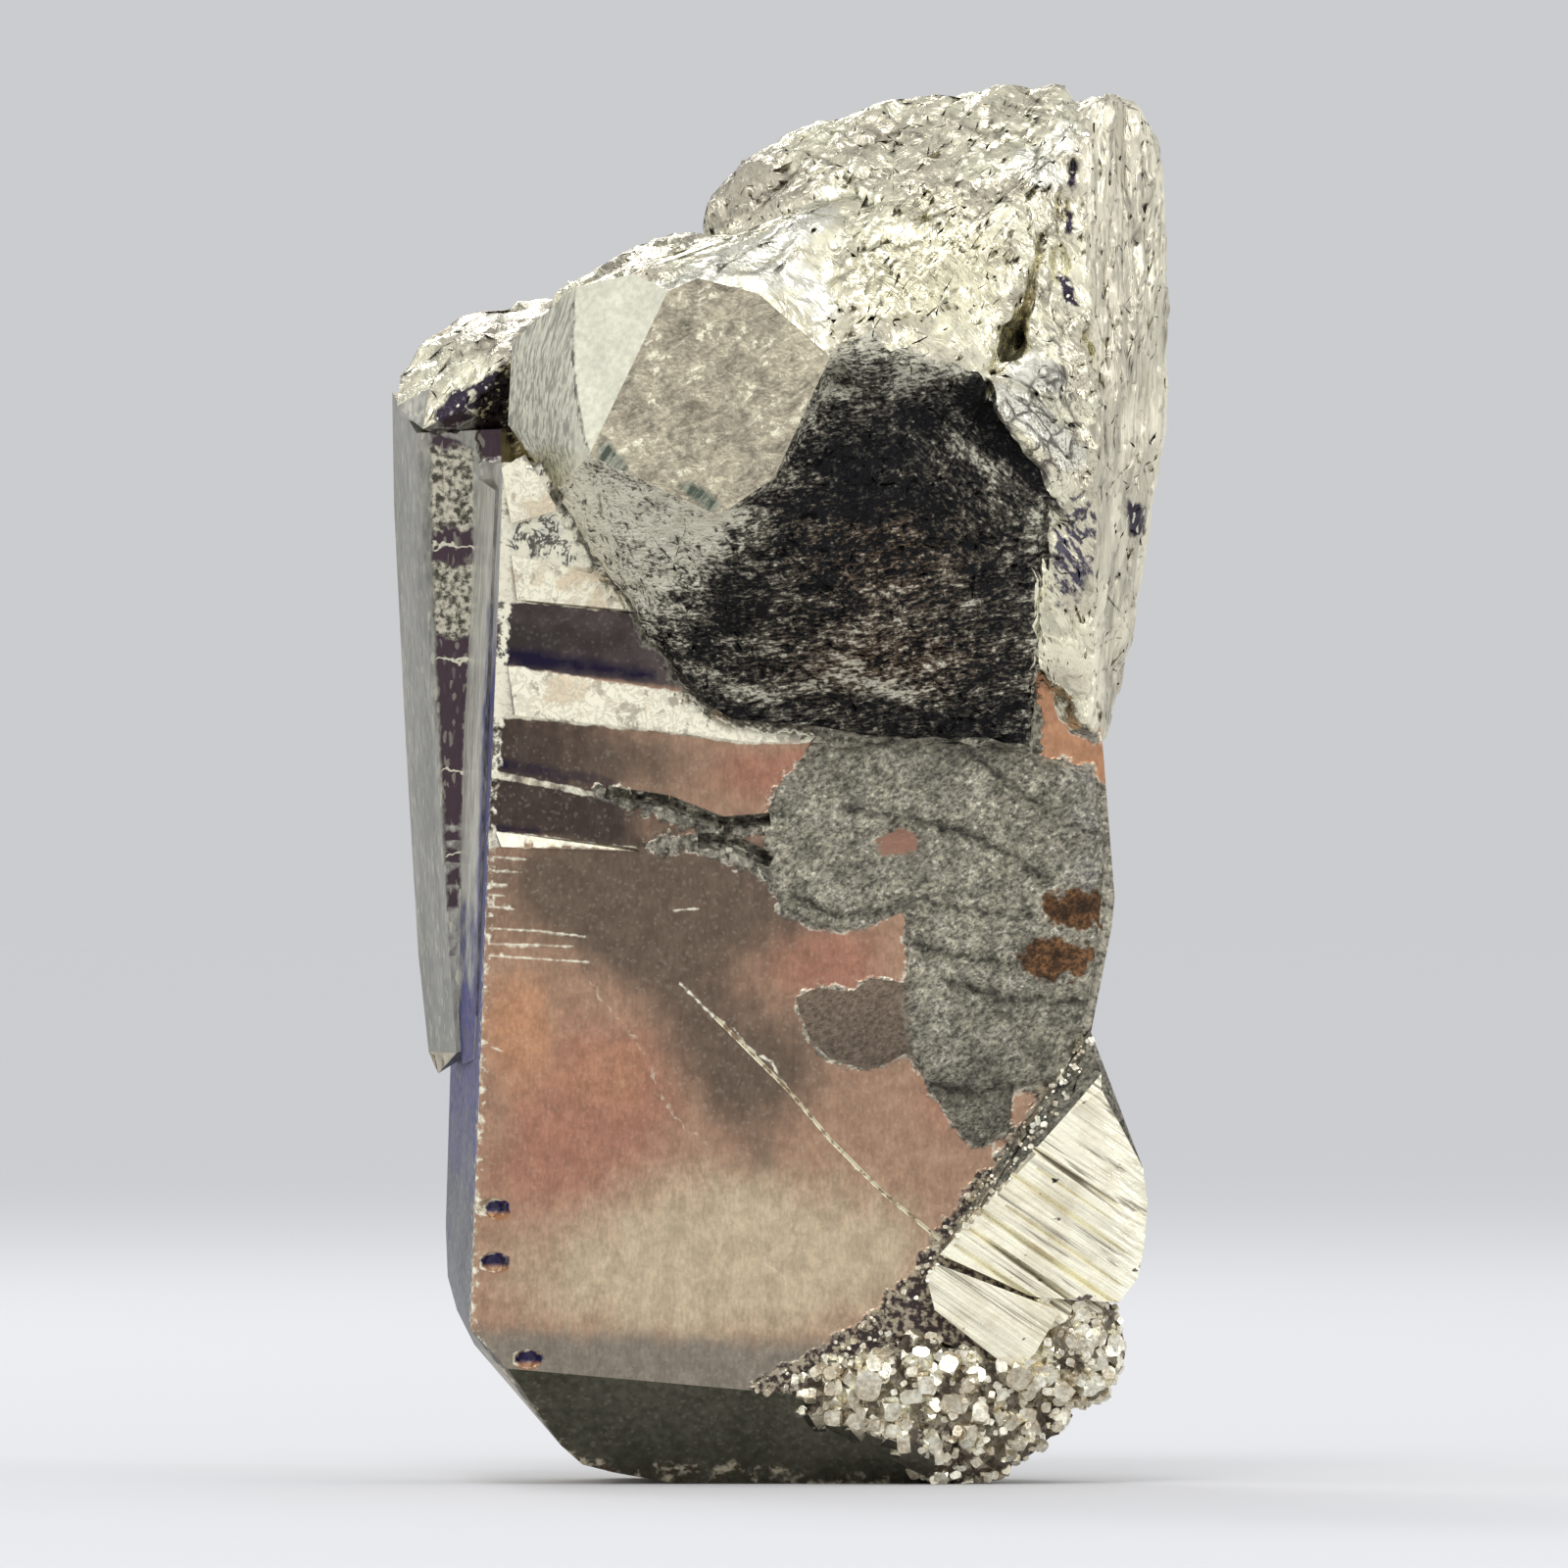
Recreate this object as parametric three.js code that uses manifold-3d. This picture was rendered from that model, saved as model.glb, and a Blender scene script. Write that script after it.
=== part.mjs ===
// A cluster of intergrown pyrite crystals, standing on its flat broken foot.
// Millimetres, +Z up. The side to look at faces -Y, and the foot rests on z = 0.
// A tall tabular crystal carries a rough mass with a perched crystal at its head,
// a slab on its left, a ridge on its right and a striated crystal in a crust at its lower right.
// The crystals grew into one another, so they are one solid.
import * as THREE from 'three';
import { ConvexGeometry } from 'three/addons/geometries/ConvexGeometry.js';
import { ImprovedNoise } from 'three/addons/math/ImprovedNoise.js';
import { mergeVertices } from 'three/addons/utils/BufferGeometryUtils.js';
import Module from 'manifold-3d';

const wasm = await Module();
wasm.setup();

// Driving dimensions
const DEPTH_BACK = 17;
const FACE_TURN = 0.105; // how far the main face recedes for each mm to the right
const FACE_EDGE_X = -15; // where the main face meets y = 0
const BURIED = 1.2; // how deep a ledge is rooted in the face that carries it
const CRUST_THICKNESS = 0.35;
const RIB_HEIGHT = 0.6;
const GROOVE_WIDTH = 0.36;
const GROOVE_DEPTH = 0.25;
const ROUGH_CELL = 2.7; // longest edge on a rough surface
const DRUSE_CELL = 2.7; // the same under the fine crystals
const BACK_CELL = 6.5; // the same on the broken back
const COVERED_FROM = 6; // depth from which a rough surface gets coarser

const noise = new ImprovedNoise();

// Repeatable random numbers from 0 to 1
function randomFrom(seed) {
  let state = seed >>> 0;
  return () => {
    state = (Math.imul(state, 1664525) + 1013904223) >>> 0;
    return state / 4294967296;
  };
}

// Depth of the main crystal's front face at x
const mainFaceY = (x) => FACE_TURN * (x - FACE_EDGE_X);

function solidOf(geometry) {
  const bare = geometry.clone();
  for (const name of ['normal', 'uv']) bare.deleteAttribute(name);
  const merged = mergeVertices(bare, 1e-4);
  return new wasm.Manifold(new wasm.Mesh({
    numProp: 3,
    vertProperties: new Float32Array(merged.attributes.position.array),
    triVerts: new Uint32Array(merged.index.array),
  }));
}

function geometryOf(solid) {
  const mesh = solid.getMesh();
  const geometry = new THREE.BufferGeometry();
  geometry.setAttribute('position', new THREE.BufferAttribute(mesh.vertProperties, 3));
  geometry.setIndex(new THREE.BufferAttribute(mesh.triVerts, 1));
  return geometry;
}

// A flat-faced crystal: the convex hull of its corners
function crystal(corners) {
  return solidOf(new ConvexGeometry(corners.map((p) => new THREE.Vector3(...p))));
}

const joined = (solids) => solids.reduce((whole, next) => whole.add(next));

// Splits every edge longer than cell, so that the surface has points to move.
// Behind the depth named covered, which other crystals hide, longer edges stay.
function refined(vertices, triangles, cell, covered) {
  const points = vertices.map((p) => p.clone());
  let faces = triangles;
  for (let pass = 0; pass < 8; pass += 1) {
    const middles = new Map();
    const middleOf = (a, b) => {
      const hidden = Math.max(0, (points[a].y + points[b].y) / 2 - covered);
      if (points[a].distanceTo(points[b]) <= cell + 0.7 * hidden) return -1;
      const key = a < b ? `${a},${b}` : `${b},${a}`;
      if (!middles.has(key)) {
        middles.set(key, points.length);
        points.push(points[a].clone().lerp(points[b], 0.5));
      }
      return middles.get(key);
    };
    const next = [];
    for (const [a, b, c] of faces) {
      const cut = [middleOf(a, b), middleOf(b, c), middleOf(c, a)];
      const count = cut.filter((m) => m >= 0).length;
      if (count === 0) {
        next.push([a, b, c]);
      } else if (count === 3) {
        next.push([a, cut[0], cut[2]], [cut[0], b, cut[1]], [cut[2], cut[1], c], cut);
      } else {
        // Turn the corners so that the first edge is cut and, with two cuts, the second too
        let turn = 0;
        while (cut[turn] < 0 || (count === 2 && cut[(turn + 1) % 3] < 0)) turn += 1;
        const v = [a, b, c];
        const [p, q, r] = [v[turn], v[(turn + 1) % 3], v[(turn + 2) % 3]];
        const m = cut[turn];
        if (count === 1) {
          next.push([p, m, r], [m, q, r]);
        } else {
          const n = cut[(turn + 1) % 3];
          next.push([m, q, n], [p, m, n], [p, n, r]);
        }
      }
    }
    faces = next;
    if (middles.size === 0) break;
  }
  return { points, faces };
}

// Corners on one flat face: outline of [x, z], on the plane through at that leans by slope
const flatFace = (outline, at, slope) => outline.map(([x, z]) => [
  x,
  at[1] + slope[0] * (x - at[0]) + slope[1] * (z - at[2]),
  z,
]);

// A rough, broken surface on a crystal: each point moves along its normal by a lumpy noise
function rough(solid, cell, height, scale, covered = COVERED_FROM) {
  const mesh = solid.getMesh();
  const vertices = [];
  for (let i = 0; i < mesh.vertProperties.length; i += 3) {
    vertices.push(new THREE.Vector3(...mesh.vertProperties.subarray(i, i + 3)));
  }
  const triangles = [];
  for (let i = 0; i < mesh.triVerts.length; i += 3) {
    triangles.push([...mesh.triVerts.subarray(i, i + 3)]);
  }
  const { points, faces } = refined(vertices, triangles, cell, covered);
  const normals = points.map(() => new THREE.Vector3());
  for (const face of faces) {
    const [a, b, c] = face.map((i) => points[i]);
    const across = b.clone().sub(a).cross(c.clone().sub(a));
    for (const i of face) normals[i].add(across);
  }
  const moved = points.map((p, i) => {
    const broad = noise.noise(p.x / scale, p.y / scale, p.z / scale);
    const fine = noise.noise(p.x * 2.7 / scale + 9, p.y * 2.7 / scale, p.z * 2.7 / scale);
    return p.clone().addScaledVector(normals[i].normalize(), height * (broad + 0.6 * fine));
  });
  const geometry = new THREE.BufferGeometry().setFromPoints(moved);
  geometry.setIndex(faces.flat());
  return solidOf(geometry);
}

// A low ledge on the main face, from an outline of [x, z] points
function crustOnFace(outline, raise) {
  const shape = new THREE.Shape(outline.map(([x, z]) => new THREE.Vector2(x, z)));
  const geometry = new THREE.ExtrudeGeometry(shape, { depth: 1, bevelEnabled: false });
  const position = geometry.attributes.position;
  for (let i = 0; i < position.count; i += 1) {
    const [x, z, front] = [position.getX(i), position.getY(i), position.getZ(i)];
    position.setXYZ(i, x, mainFaceY(x) + (front > 0.5 ? -raise : BURIED), z);
  }
  return solidOf(geometry);
}

// A growth rib on the main face: corners are [x, z, height above the face]
function ribOnFace(corners) {
  return crystal(corners.flatMap(([x, z, raise]) => [
    [x, mainFaceY(x) - raise, z],
    [x, mainFaceY(x) + BURIED, z],
  ]));
}

// A V-shaped cut along a line, from one [x, y, z] to another, opening towards -Y
function grooveCut(from, to, width, depth) {
  const along = new THREE.Vector3(to[0] - from[0], 0, to[2] - from[2]).normalize();
  const [sideX, sideZ] = [-along.z * width / 2, along.x * width / 2];
  return crystal([from, to].flatMap(([x, y, z]) => [
    [x + sideX, y - depth, z + sideZ],
    [x - sideX, y - depth, z - sideZ],
    [x + sideX, y, z + sideZ],
    [x - sideX, y, z - sideZ],
    [x, y + depth, z],
  ]));
}

// The tall tabular crystal, with its bevelled foot and cut lower left corner
function mainCrystal() {
  return crystal([
    ...flatFace([
      [-14.3, 52.2], [-16.0, 8.0], [-14.1, 6.0], [-1.65, 4.85], [9, 3.9],
      [12.8, 8.5], [15.45, 23], [16.75, 28.5], [16.9, 30], [16.3, 37.6], [14.5, 52.2],
    ], [FACE_EDGE_X, 0, 0], [FACE_TURN, 0]),
    [-15.5, DEPTH_BACK, 52.2], [-17.2, DEPTH_BACK, 22], [-17.45, DEPTH_BACK - 1, 13],
    [-17.35, DEPTH_BACK - 1, 10.4], [-16.85, 14, 8.7], [-15.9, 10, 7.0], [-14.7, 8, 5.7],
    [14.5, DEPTH_BACK, 52.2], [15.5, DEPTH_BACK, 38], [14.6, DEPTH_BACK, 23],
    [12, DEPTH_BACK, 8],
    [-13.1, 2.1, 4.3], [-11.4, 3.3, 2.0], [-10.3, 4.0, 1.0], [-8.8, 4.5, 0.6],
    [-9, 16, 0.7], [-5, 4.8, -0.1], [9.3, 5.2, -0.1], [-5, 16, -0.1], [9.3, 16, -0.1],
  ]);
}

// Bright growth ribs across the upper left of the main face
function growthRibs() {
  return joined([
    ribOnFace([
      [-14.1, 41.95, 0.05], [-8.45, 40.95, 0.05], [-4.5, 40.35, 0.05], [0, 39.3, 0.05],
      [-13.7, 39.3, RIB_HEIGHT], [-6.55, 38.6, RIB_HEIGHT], [-1.75, 37.95, RIB_HEIGHT],
      [2.35, 37.9, 0.4],
    ]),
    ribOnFace([
      [-13.9, 47.5, 0.2], [-8.95, 46.3, 0.3], [-13.6, 45.2, RIB_HEIGHT],
      [-8.15, 44.7, RIB_HEIGHT], [-6.4, 44.3, 0.3],
    ]),
    ribOnFace([[-14.7, 33.4, 0.1], [-14.4, 32.6, 0.5], [-7.35, 32.35, 0.25], [-7.6, 32.55, 0.05]]),
    ribOnFace([
      [-14.4, 51.9, 0.3], [-13.2, 52.6, 0.3], [-11.5, 49.75, 0.9], [-13.9, 49.1, 0.7],
    ]),
  ]);
}

// Matte crust in three layers over the right of the main face
function faceCrust() {
  return joined([
    crustOnFace([
      [0.05, 36.2], [-0.9, 34.3], [-1.05, 31.4], [0.05, 29.1], [1.65, 28.5], [3.9, 28.4],
      [6.1, 29.3], [6.4, 27.2], [6.1, 24.6], [6.2, 22.2], [7.7, 19.9], [9, 17.9], [10.1, 17.2],
      [11.5, 18.2], [11.7, 20.2], [14.2, 20.7], [15.2, 23], [15.9, 26.5], [16.4, 32], [15.9, 36],
      [12, 37.4], [6.5, 38], [2.4, 37.6],
    ], CRUST_THICKNESS),
    crustOnFace([
      [2.1, 36.9], [4.6, 33.6], [7, 34.2], [10.9, 33.1], [14.1, 32.5], [16.4, 33.2],
      [15.7, 36.6], [11.5, 37.6], [6, 38.3],
    ], CRUST_THICKNESS + 0.3),
    crustOnFace([
      [6.6, 24.9], [9.3, 25.2], [11.8, 24.5], [15.5, 24.8], [16.3, 28.6], [12.9, 29.4],
      [10.9, 29.1], [7.7, 29.7],
    ], CRUST_THICKNESS + 0.25),
    crustOnFace([
      [0.6, 24.9], [1.7, 25.4], [3.5, 25.2], [4.4, 25.9], [6.5, 25.6], [6.6, 22.3],
      [5.4, 21.6], [4.3, 21.2], [2.3, 21.8], [1.3, 22.8],
    ], 0.15),
  ]);
}

// Cracks, fissures and edge pits cut into the main face
function faceCuts() {
  const onFace = ([x, z]) => [x, mainFaceY(x), z];
  const paths = [
    { points: [[-9.1, 35.4], [-5.9, 34.9], [-3.1, 33.8], [-0.7, 34]], width: 0.7, depth: 0.5 },
    { points: [[-4.4, 32.9], [-2.7, 32.9], [-0.6, 31.9]], width: 0.8, depth: 0.5 },
    { points: [[-2.8, 33.9], [-2.9, 32.8]], width: 0.5, depth: 0.4 },
    {
      points: [[-3.5, 23.9], [-2, 22.4], [0.2, 20.2], [2.5, 17.5], [5, 15], [8, 12.5]],
      width: 0.25,
      depth: 0.2,
    },
  ];
  const cuts = paths.flatMap(({ points, width, depth }) => points.slice(1).map((to, i) => (
    grooveCut(onFace(points[i]), onFace(to), width, depth))));
  const pits = [[-14.9, 14.2], [-14.8, 11.4], [-13.1, 6.5]];
  for (const [x, z] of pits) {
    const hole = new THREE.IcosahedronGeometry(0.75, 0);
    hole.scale(1.2, 0.8, 0.8);
    hole.translate(x, mainFaceY(x), z);
    cuts.push(solidOf(hole));
  }
  return joined(cuts);
}

// The slab behind the left side of the main crystal, with a broken top
function leftSlab() {
  const sheet = crystal([
    [-18.85, 8, 53.8], [-18.1, 8, 46], [-17.6, 8, 35], [-16.95, 8, 24], [-16.8, 8, 22],
    [-20.2, 15, 56.0], [-20.1, 15, 50], [-19.5, 15, 38], [-18.85, 15, 27], [-18.3, 14, 22],
    [-17.8, 13, 20.9], [-14.5, 8, 54], [-14.5, 8, 23], [-12, 17, 56], [-13, 17, 24],
  ]);
  const top = rough(crystal([
    [-19.7, 9, 55.2], [-18.5, 7.4, 54.0], [-16.3, 6.4, 55.1], [-14.2, 5.6, 56.9],
    [-13.4, 5, 58.5], [-19.4, 12, 58.2], [-18.7, 12.5, 59.4], [-15.8, 12.5, 60.2],
    [-13.5, 12, 60.5], [-10.7, 11, 61.3], [-19.4, 15, 54.5], [-11, 16, 58], [-12, 12, 52],
  ]), ROUGH_CELL, 0.45, 2.4, 11);
  return sheet.add(top);
}

// A thin plate on the left side face, next to the front edge
function sidePlate() {
  return crystal([
    [-14.75, 2.6, 50.8], [-15.75, 8.4, 51.5], [-15.3, 2.5, 38], [-16.5, 8.4, 38],
    [-15.75, 2.6, 24], [-16.75, 8.4, 24], [-15.9, 3.6, 21.7], [-16.5, 8, 21.4],
    [-13, 3, 50.8], [-13, 8.4, 51.5], [-14, 3, 22], [-14, 8.4, 22],
  ]);
}

// The crystal perched on the front, with a broad tan face and a paler one on its left
function perchedCrystal() {
  const broad = flatFace([
    [-5.9, 60.85], [-4.35, 61.5], [-1.3, 60.7], [2.35, 57.5], [-0.5, 51.3], [-3.35, 49.4],
    [-9.9, 52.5],
  ], [-3, -6.2, 55], [-0.13, 0.21]);
  const left = flatFace([
    [-7.65, 61.75], [-10.6, 61.1], [-10.75, 57.35],
  ], [-5.9, -4.59, 60.85], [-0.62, 0.4455]);
  return crystal([
    ...broad,
    ...left,
    [-13.9, 3, 58.4], [-13.1, 1.2, 53.9], [-14.1, 3, 54.15],
    [-2.5, -1, 63.9], [0.05, -1.5, 64.2], [2.9, -1.5, 65.6],
    [-11.5, -0.7, 50.8], [-6, -5.6, 49.8],
    [-8, 10, 60], [4, 10, 63], [-10, 10, 50], [4, 10, 46],
  ]);
}

// The dark slope that runs from under the perched crystal and the overhang of the top mass
// down to a ledge on the main face
function darkSlope() {
  return rough(crystal([
    [2.8, -3.6, 58.2], [6, -2.9, 58.5], [10.2, -2.7, 56.8], [13.4, -1.6, 51],
    [13.0, -0.4, 45.6], [12.9, 0.8, 41.7], [12.7, 1.9, 37.5], [8.65, 0.9, 38.4],
    [2.9, 0.5, 39.9], [-0.9, 0.1, 39.1], [-2.7, 0.1, 39.3], [-5.05, 0.1, 40.8],
    [-7.0, -0.3, 43.4], [-9.1, -0.9, 46.6], [-11.4, -0.5, 50.4], [-9.7, -5.1, 52.2],
    [-0.8, -6.5, 51.0], [-3.3, -6.7, 49.2], [1.2, -4.7, 47.5],
    [-6, 8, 52], [4, 10, 58], [12.5, 10, 54], [12.5, 6, 38], [-4, 6, 41],
  ]), ROUGH_CELL, 0.35, 3.1);
}

// The rough mass at the top, with its broad bright face to the front
function topMass() {
  const head = rough(crystal([
    [4.1, -6, 59.6], [7.7, -5.6, 57.3], [10.25, -4.8, 56.4], [2.8, -7, 58],
    [12.65, -3.5, 62.15], [13.45, -2, 66.9], [14.7, -0.5, 69.5], [3.7, -3.5, 63.9],
    [14.5, 2, 72.0], [11, 2.5, 71.6], [8.5, 3, 70.8], [6.4, 3.5, 70.8], [3.6, 3.5, 69.9],
    [1.5, 4, 69.4], [-0.5, 4, 68.9], [-2.7, 4.5, 67.5], [-4.2, 5, 65.5],
    [13, 10, 70.6], [2, 11, 67.6], [-3, 10, 63.6], [14, 14, 62], [4, 15, 60],
    [13, 16, 50], [-4, 16, 50], [10, 2, 50],
  ]), ROUGH_CELL, 0.55, 3.3);
  const shoulder = rough(crystal([
    [-2, -0.5, 63.8], [-7.6, -2, 61.9], [-10.4, 0, 61.3], [-5, 3.5, 64.2], [-7, 4, 63.6],
    [-8.2, 4, 63], [-10.4, 5, 62], [-12.5, 7, 60.3], [-4, 12, 62], [-12, 12, 58],
    [-3, 5, 56], [-12, 5, 56],
  ]), ROUGH_CELL, 0.4, 2.6);
  return head.add(shoulder);
}

// The upright ridge along the right side. A crumpled band joins it to the top mass,
// and ends below in a lobe and a narrow strip.
function rightRidge() {
  const column = rough(crystal([
    [14.9, -0.6, 69.2], [15.7, -1, 66], [16.3, -1, 52], [15.9, 0.4, 44], [15.4, 1.6, 38.6],
    [15.9, 0.5, 71.1], [17.1, 1, 71.2], [18.4, 3, 70.5], [19.2, 4, 69.4], [19.5, 4, 66.6],
    [19.7, 4.5, 62], [19.55, 5, 57.7], [19.4, 5, 53], [19.1, 5, 50], [18.2, 5, 45],
    [17.05, 5, 41.4], [16.4, 5, 37.8], [16.5, 10, 69.5], [18, 13, 60], [17.5, 15, 50],
    [16, 14, 38], [11, 6, 68], [11, 6, 40],
  ]), ROUGH_CELL, 0.45, 2.2);
  const band = rough(crystal([
    [14.3, -0.9, 69.2], [15.8, -0.9, 69], [13.5, -2.4, 65], [15.9, -1.5, 64],
    [12.6, -3.4, 60.5], [15.9, -1.9, 59], [12.2, -3.9, 57.8], [12, 3, 58], [15, 4, 58],
    [14, 4, 69],
  ]), ROUGH_CELL * 0.85, 0.35, 1.7);
  const lobe = rough(crystal([
    [10.3, -4.6, 56.5], [11.85, -4.0, 57.5], [13.4, -3.2, 58.2], [15.3, -2.2, 58.4],
    [16.2, -1.9, 56], [16.5, -1.5, 52.6], [15.9, -1.1, 50.4], [14.6, -1.0, 48.6],
    [13.45, -2, 51.2], [12.1, -3, 52.7], [10.9, -3.9, 54.3],
    [11.5, 3, 53], [15, 4, 50], [14, 4, 60],
  ]), ROUGH_CELL * 0.85, 0.35, 1.8);
  const strip = rough(crystal([
    [13.2, -0.9, 50.8], [12.95, 0.2, 46], [13.0, 1.1, 41.7], [13.7, 1.4, 40.0],
    [15.9, -0.8, 51.5], [16.3, -0.4, 49], [15.9, 0.3, 45], [15.3, 1.3, 40.6], [12, 5, 49],
    [16, 5, 49], [13.5, 5, 41],
  ]), ROUGH_CELL * 0.85, 0.3, 1.7);
  const knob = crystal([
    [19.3, 4, 57.6], [19.98, 5, 56.8], [19.95, 5, 55.3], [19.2, 4.2, 54.3], [18.5, 3.4, 56],
    [19.3, 6.5, 56.4], [18, 6, 57.4], [18, 6, 54.2],
  ]);
  return joined([column, band, lobe, strip, knob]);
}

// Deep notches between the top mass and the ridge, and a recess by the perched crystal
function seamNotches() {
  const spots = [
    [14.2, -1.9, 65.2, 0.7], [14.0, -2.5, 62.5, 0.85], [13.7, -3.1, 60.2, 0.8],
    [14.7, -1.4, 67.3, 0.5], [-14.7, 4.5, 54.6, 1.1],
  ];
  return joined(spots.map(([x, y, z, size]) => {
    const notch = new THREE.IcosahedronGeometry(size, 0);
    notch.scale(0.75, 1.5, 1.9);
    notch.translate(x, y, z);
    return solidOf(notch);
  }));
}

// The striated crystal at the lower right and the small tooth below it
function striatedCrystal() {
  const block = crystal([
    [15.65, 2.6, 23.2], [16.2, 1.9, 21], [16.2, 1.7, 20.2], [17.25, 2.4, 17.8],
    [18.35, 3.0, 16.15], [18.58, 3.2, 14.35], [18.4, 3.2, 12.15], [18.05, 3.1, 10.5],
    [17.1, 2.8, 9.3], [12.8, 2.0, 9.6], [7.95, 1.5, 11.8], [10.25, 1.5, 14.3],
    [12.8, 1.5, 16.85], [14.4, 1.5, 18.9],
    [15.5, 12, 21], [17.5, 12, 14], [16.5, 12, 9.5], [9, 10, 10.5], [10, 10, 17],
  ]);
  const slope = 0.69; // each stripe falls this much for each mm to the right
  const starts = [
    [12.6, 17.3], [12.9, 16.2], [11.6, 15.9], [11.3, 14.3], [9.9, 14.1], [9.3, 13.2], [8.7, 12.3],
  ];
  const cuts = starts.map(([x, z]) => {
    const run = 19.2 - x;
    return grooveCut(
      [x, 1.42, z],
      [x + run, 1.42 + 0.2 * run, z - slope * run],
      GROOVE_WIDTH,
      GROOVE_DEPTH,
    );
  });
  const tooth = crystal([
    [7.25, 1.3, 10.7], [7.85, 1.2, 11.3], [13.1, 1.7, 9.2], [14.1, 1.9, 8.9],
    [12.8, 1.8, 7.85], [12.8, 2, 6.7], [11.85, 2.2, 5.9], [10.75, 2, 6.55],
    [9.95, 1.8, 7.35], [7.7, 1.5, 8.95], [9, 8, 10], [13, 8, 9], [12, 8, 7],
  ]);
  return block.subtract(joined(cuts)).add(tooth);
}

// Two lumps of fine crystals below the striated one, each grain a small turned cube
function druse() {
  const lumps = [
    {
      hull: [
        [-1.3, 1.7, 4.7], [1.5, 1.5, 5.6], [3.55, 1.5, 5.8], [6.75, 1.7, 7.9], [10.75, 2.1, 6.4],
        [13.6, 3, 5.4], [14.6, 4, 4.2], [14.4, 4.5, 3.0], [13.2, 4.8, 2.1], [11.1, 4.7, 0.8],
        [9.6, 4.6, 0], [7.7, 4.0, 0.2], [7.6, 3.0, 1.4], [5.45, 2.6, 2.75], [1.5, 2.2, 3.9],
        [9, 12, 0.3], [13, 12, 3.2], [1, 6, 3],
      ],
      grains: 50,
      from: [1.5, 1.4],
      to: [13.2, 6.8],
    },
    {
      hull: [
        [13.4, 2.8, 9.5], [16.6, 3.4, 9.5], [17.5, 4.4, 7.6], [17.5, 4.7, 6.1], [16.4, 5, 4.9],
        [15.1, 5, 3.8], [14.0, 4.2, 4.4], [13.1, 3, 6.1], [15.4, 2.6, 7.2], [15, 12, 8],
        [15, 12, 5], [12.5, 8, 7],
      ],
      grains: 18,
      from: [13.4, 4.6],
      to: [16.6, 8.8],
    },
  ];
  const random = randomFrom(7);
  return joined(lumps.map(({ hull, grains, from, to }) => {
    let lump = rough(crystal(hull), DRUSE_CELL, 0.3, 1.4);
    const surface = geometryOf(lump);
    const caster = new THREE.Raycaster();
    const target = new THREE.Mesh(surface, new THREE.MeshBasicMaterial());
    for (let made = 0, tries = 0; made < grains && tries < grains * 4; tries += 1) {
      const x = from[0] + random() * (to[0] - from[0]);
      const z = from[1] + random() * (to[1] - from[1]);
      caster.set(new THREE.Vector3(x, -40, z), new THREE.Vector3(0, 1, 0));
      const [hit] = caster.intersectObject(target);
      const size = 0.55 + 0.75 * random() ** 2;
      const turn = new THREE.Euler(random() * 3, random() * 3, random() * 3);
      if (hit) {
        const grain = new THREE.BoxGeometry(size, size, size * 0.85);
        grain.applyMatrix4(new THREE.Matrix4().makeRotationFromEuler(turn));
        grain.translate(hit.point.x, hit.point.y + 0.1, hit.point.z);
        lump = lump.add(solidOf(grain));
        made += 1;
      }
    }
    return lump;
  }));
}

// Broken rock and blocky crystals on the back
function backCrystals() {
  const cubes = [
    { size: [14, 11, 14], turn: [0.3, 0.4, 0.12], at: [3.5, 16.2, 26] },
    { size: [10, 10, 10], turn: [-0.35, -0.4, 0.3], at: [-7.5, 16.6, 39] },
    { size: [9, 8, 8], turn: [0.2, 0.7, -0.25], at: [-6.5, 16.4, 15.5] },
    { size: [7, 7, 7], turn: [0.5, 0.3, 0.5], at: [7.5, 17.4, 46] },
    { size: [4.5, 5, 4.5], turn: [0.7, 0.4, 0.2], at: [6.5, 18, 12] },
    { size: [4, 4, 4], turn: [0.3, 0.8, 0.6], at: [-2.5, 19, 50] },
  ];
  const blocks = cubes.map(({ size, turn, at }) => {
    const block = new THREE.BoxGeometry(...size);
    block.applyMatrix4(new THREE.Matrix4().makeRotationFromEuler(new THREE.Euler(...turn)));
    block.translate(...at);
    return solidOf(block);
  });
  const broken = rough(crystal([
    [-13, 16, 51], [-14.5, 15, 34], [-13, 15, 20], [-8, 15, 8], [8, 15, 6], [12, 15, 20],
    [13.5, 15, 38], [12.5, 15, 52], [-7, 19, 48], [-9, 19.3, 36], [-6, 18.6, 18],
    [4, 20, 50], [9, 19, 40], [7, 18.6, 16], [1, 19, 10], [-10, 17, 56], [0, 17.5, 61],
    [9, 17, 62], [12, 13, 66],
  ]), BACK_CELL, 0.9, 4.2, Infinity);
  return joined([...blocks, broken]);
}

// Half a space, to cut the foot flat
function belowFloor() {
  const block = new THREE.BoxGeometry(80, 80, 20);
  block.translate(0, 10, -10);
  return solidOf(block);
}

// Small hollows sealed between the crystals are solid too
const cluster = joined([
  mainCrystal().add(growthRibs()).add(faceCrust()).subtract(faceCuts()),
  leftSlab(),
  sidePlate(),
  perchedCrystal(),
  darkSlope(),
  topMass(),
  rightRidge(),
  striatedCrystal(),
  druse(),
  backCrystals(),
]).subtract(seamNotches()).subtract(belowFloor());
const outside = cluster.decompose().reduce((a, b) => (a.volume() > b.volume() ? a : b));

// The origin is the middle of the box at the foot
const shape = geometryOf(outside);
shape.computeBoundingBox();
const middle = shape.boundingBox.getCenter(new THREE.Vector3());
shape.translate(-middle.x, -middle.y, -shape.boundingBox.min.z);

const pyrite = new THREE.MeshStandardMaterial({ color: 0xb3a684, roughness: 0.35, metalness: 1 });
const body = new THREE.Mesh(shape, pyrite);
body.name = 'pyrite_cluster';

const part = new THREE.Group();
part.add(body);

export default part;
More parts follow.
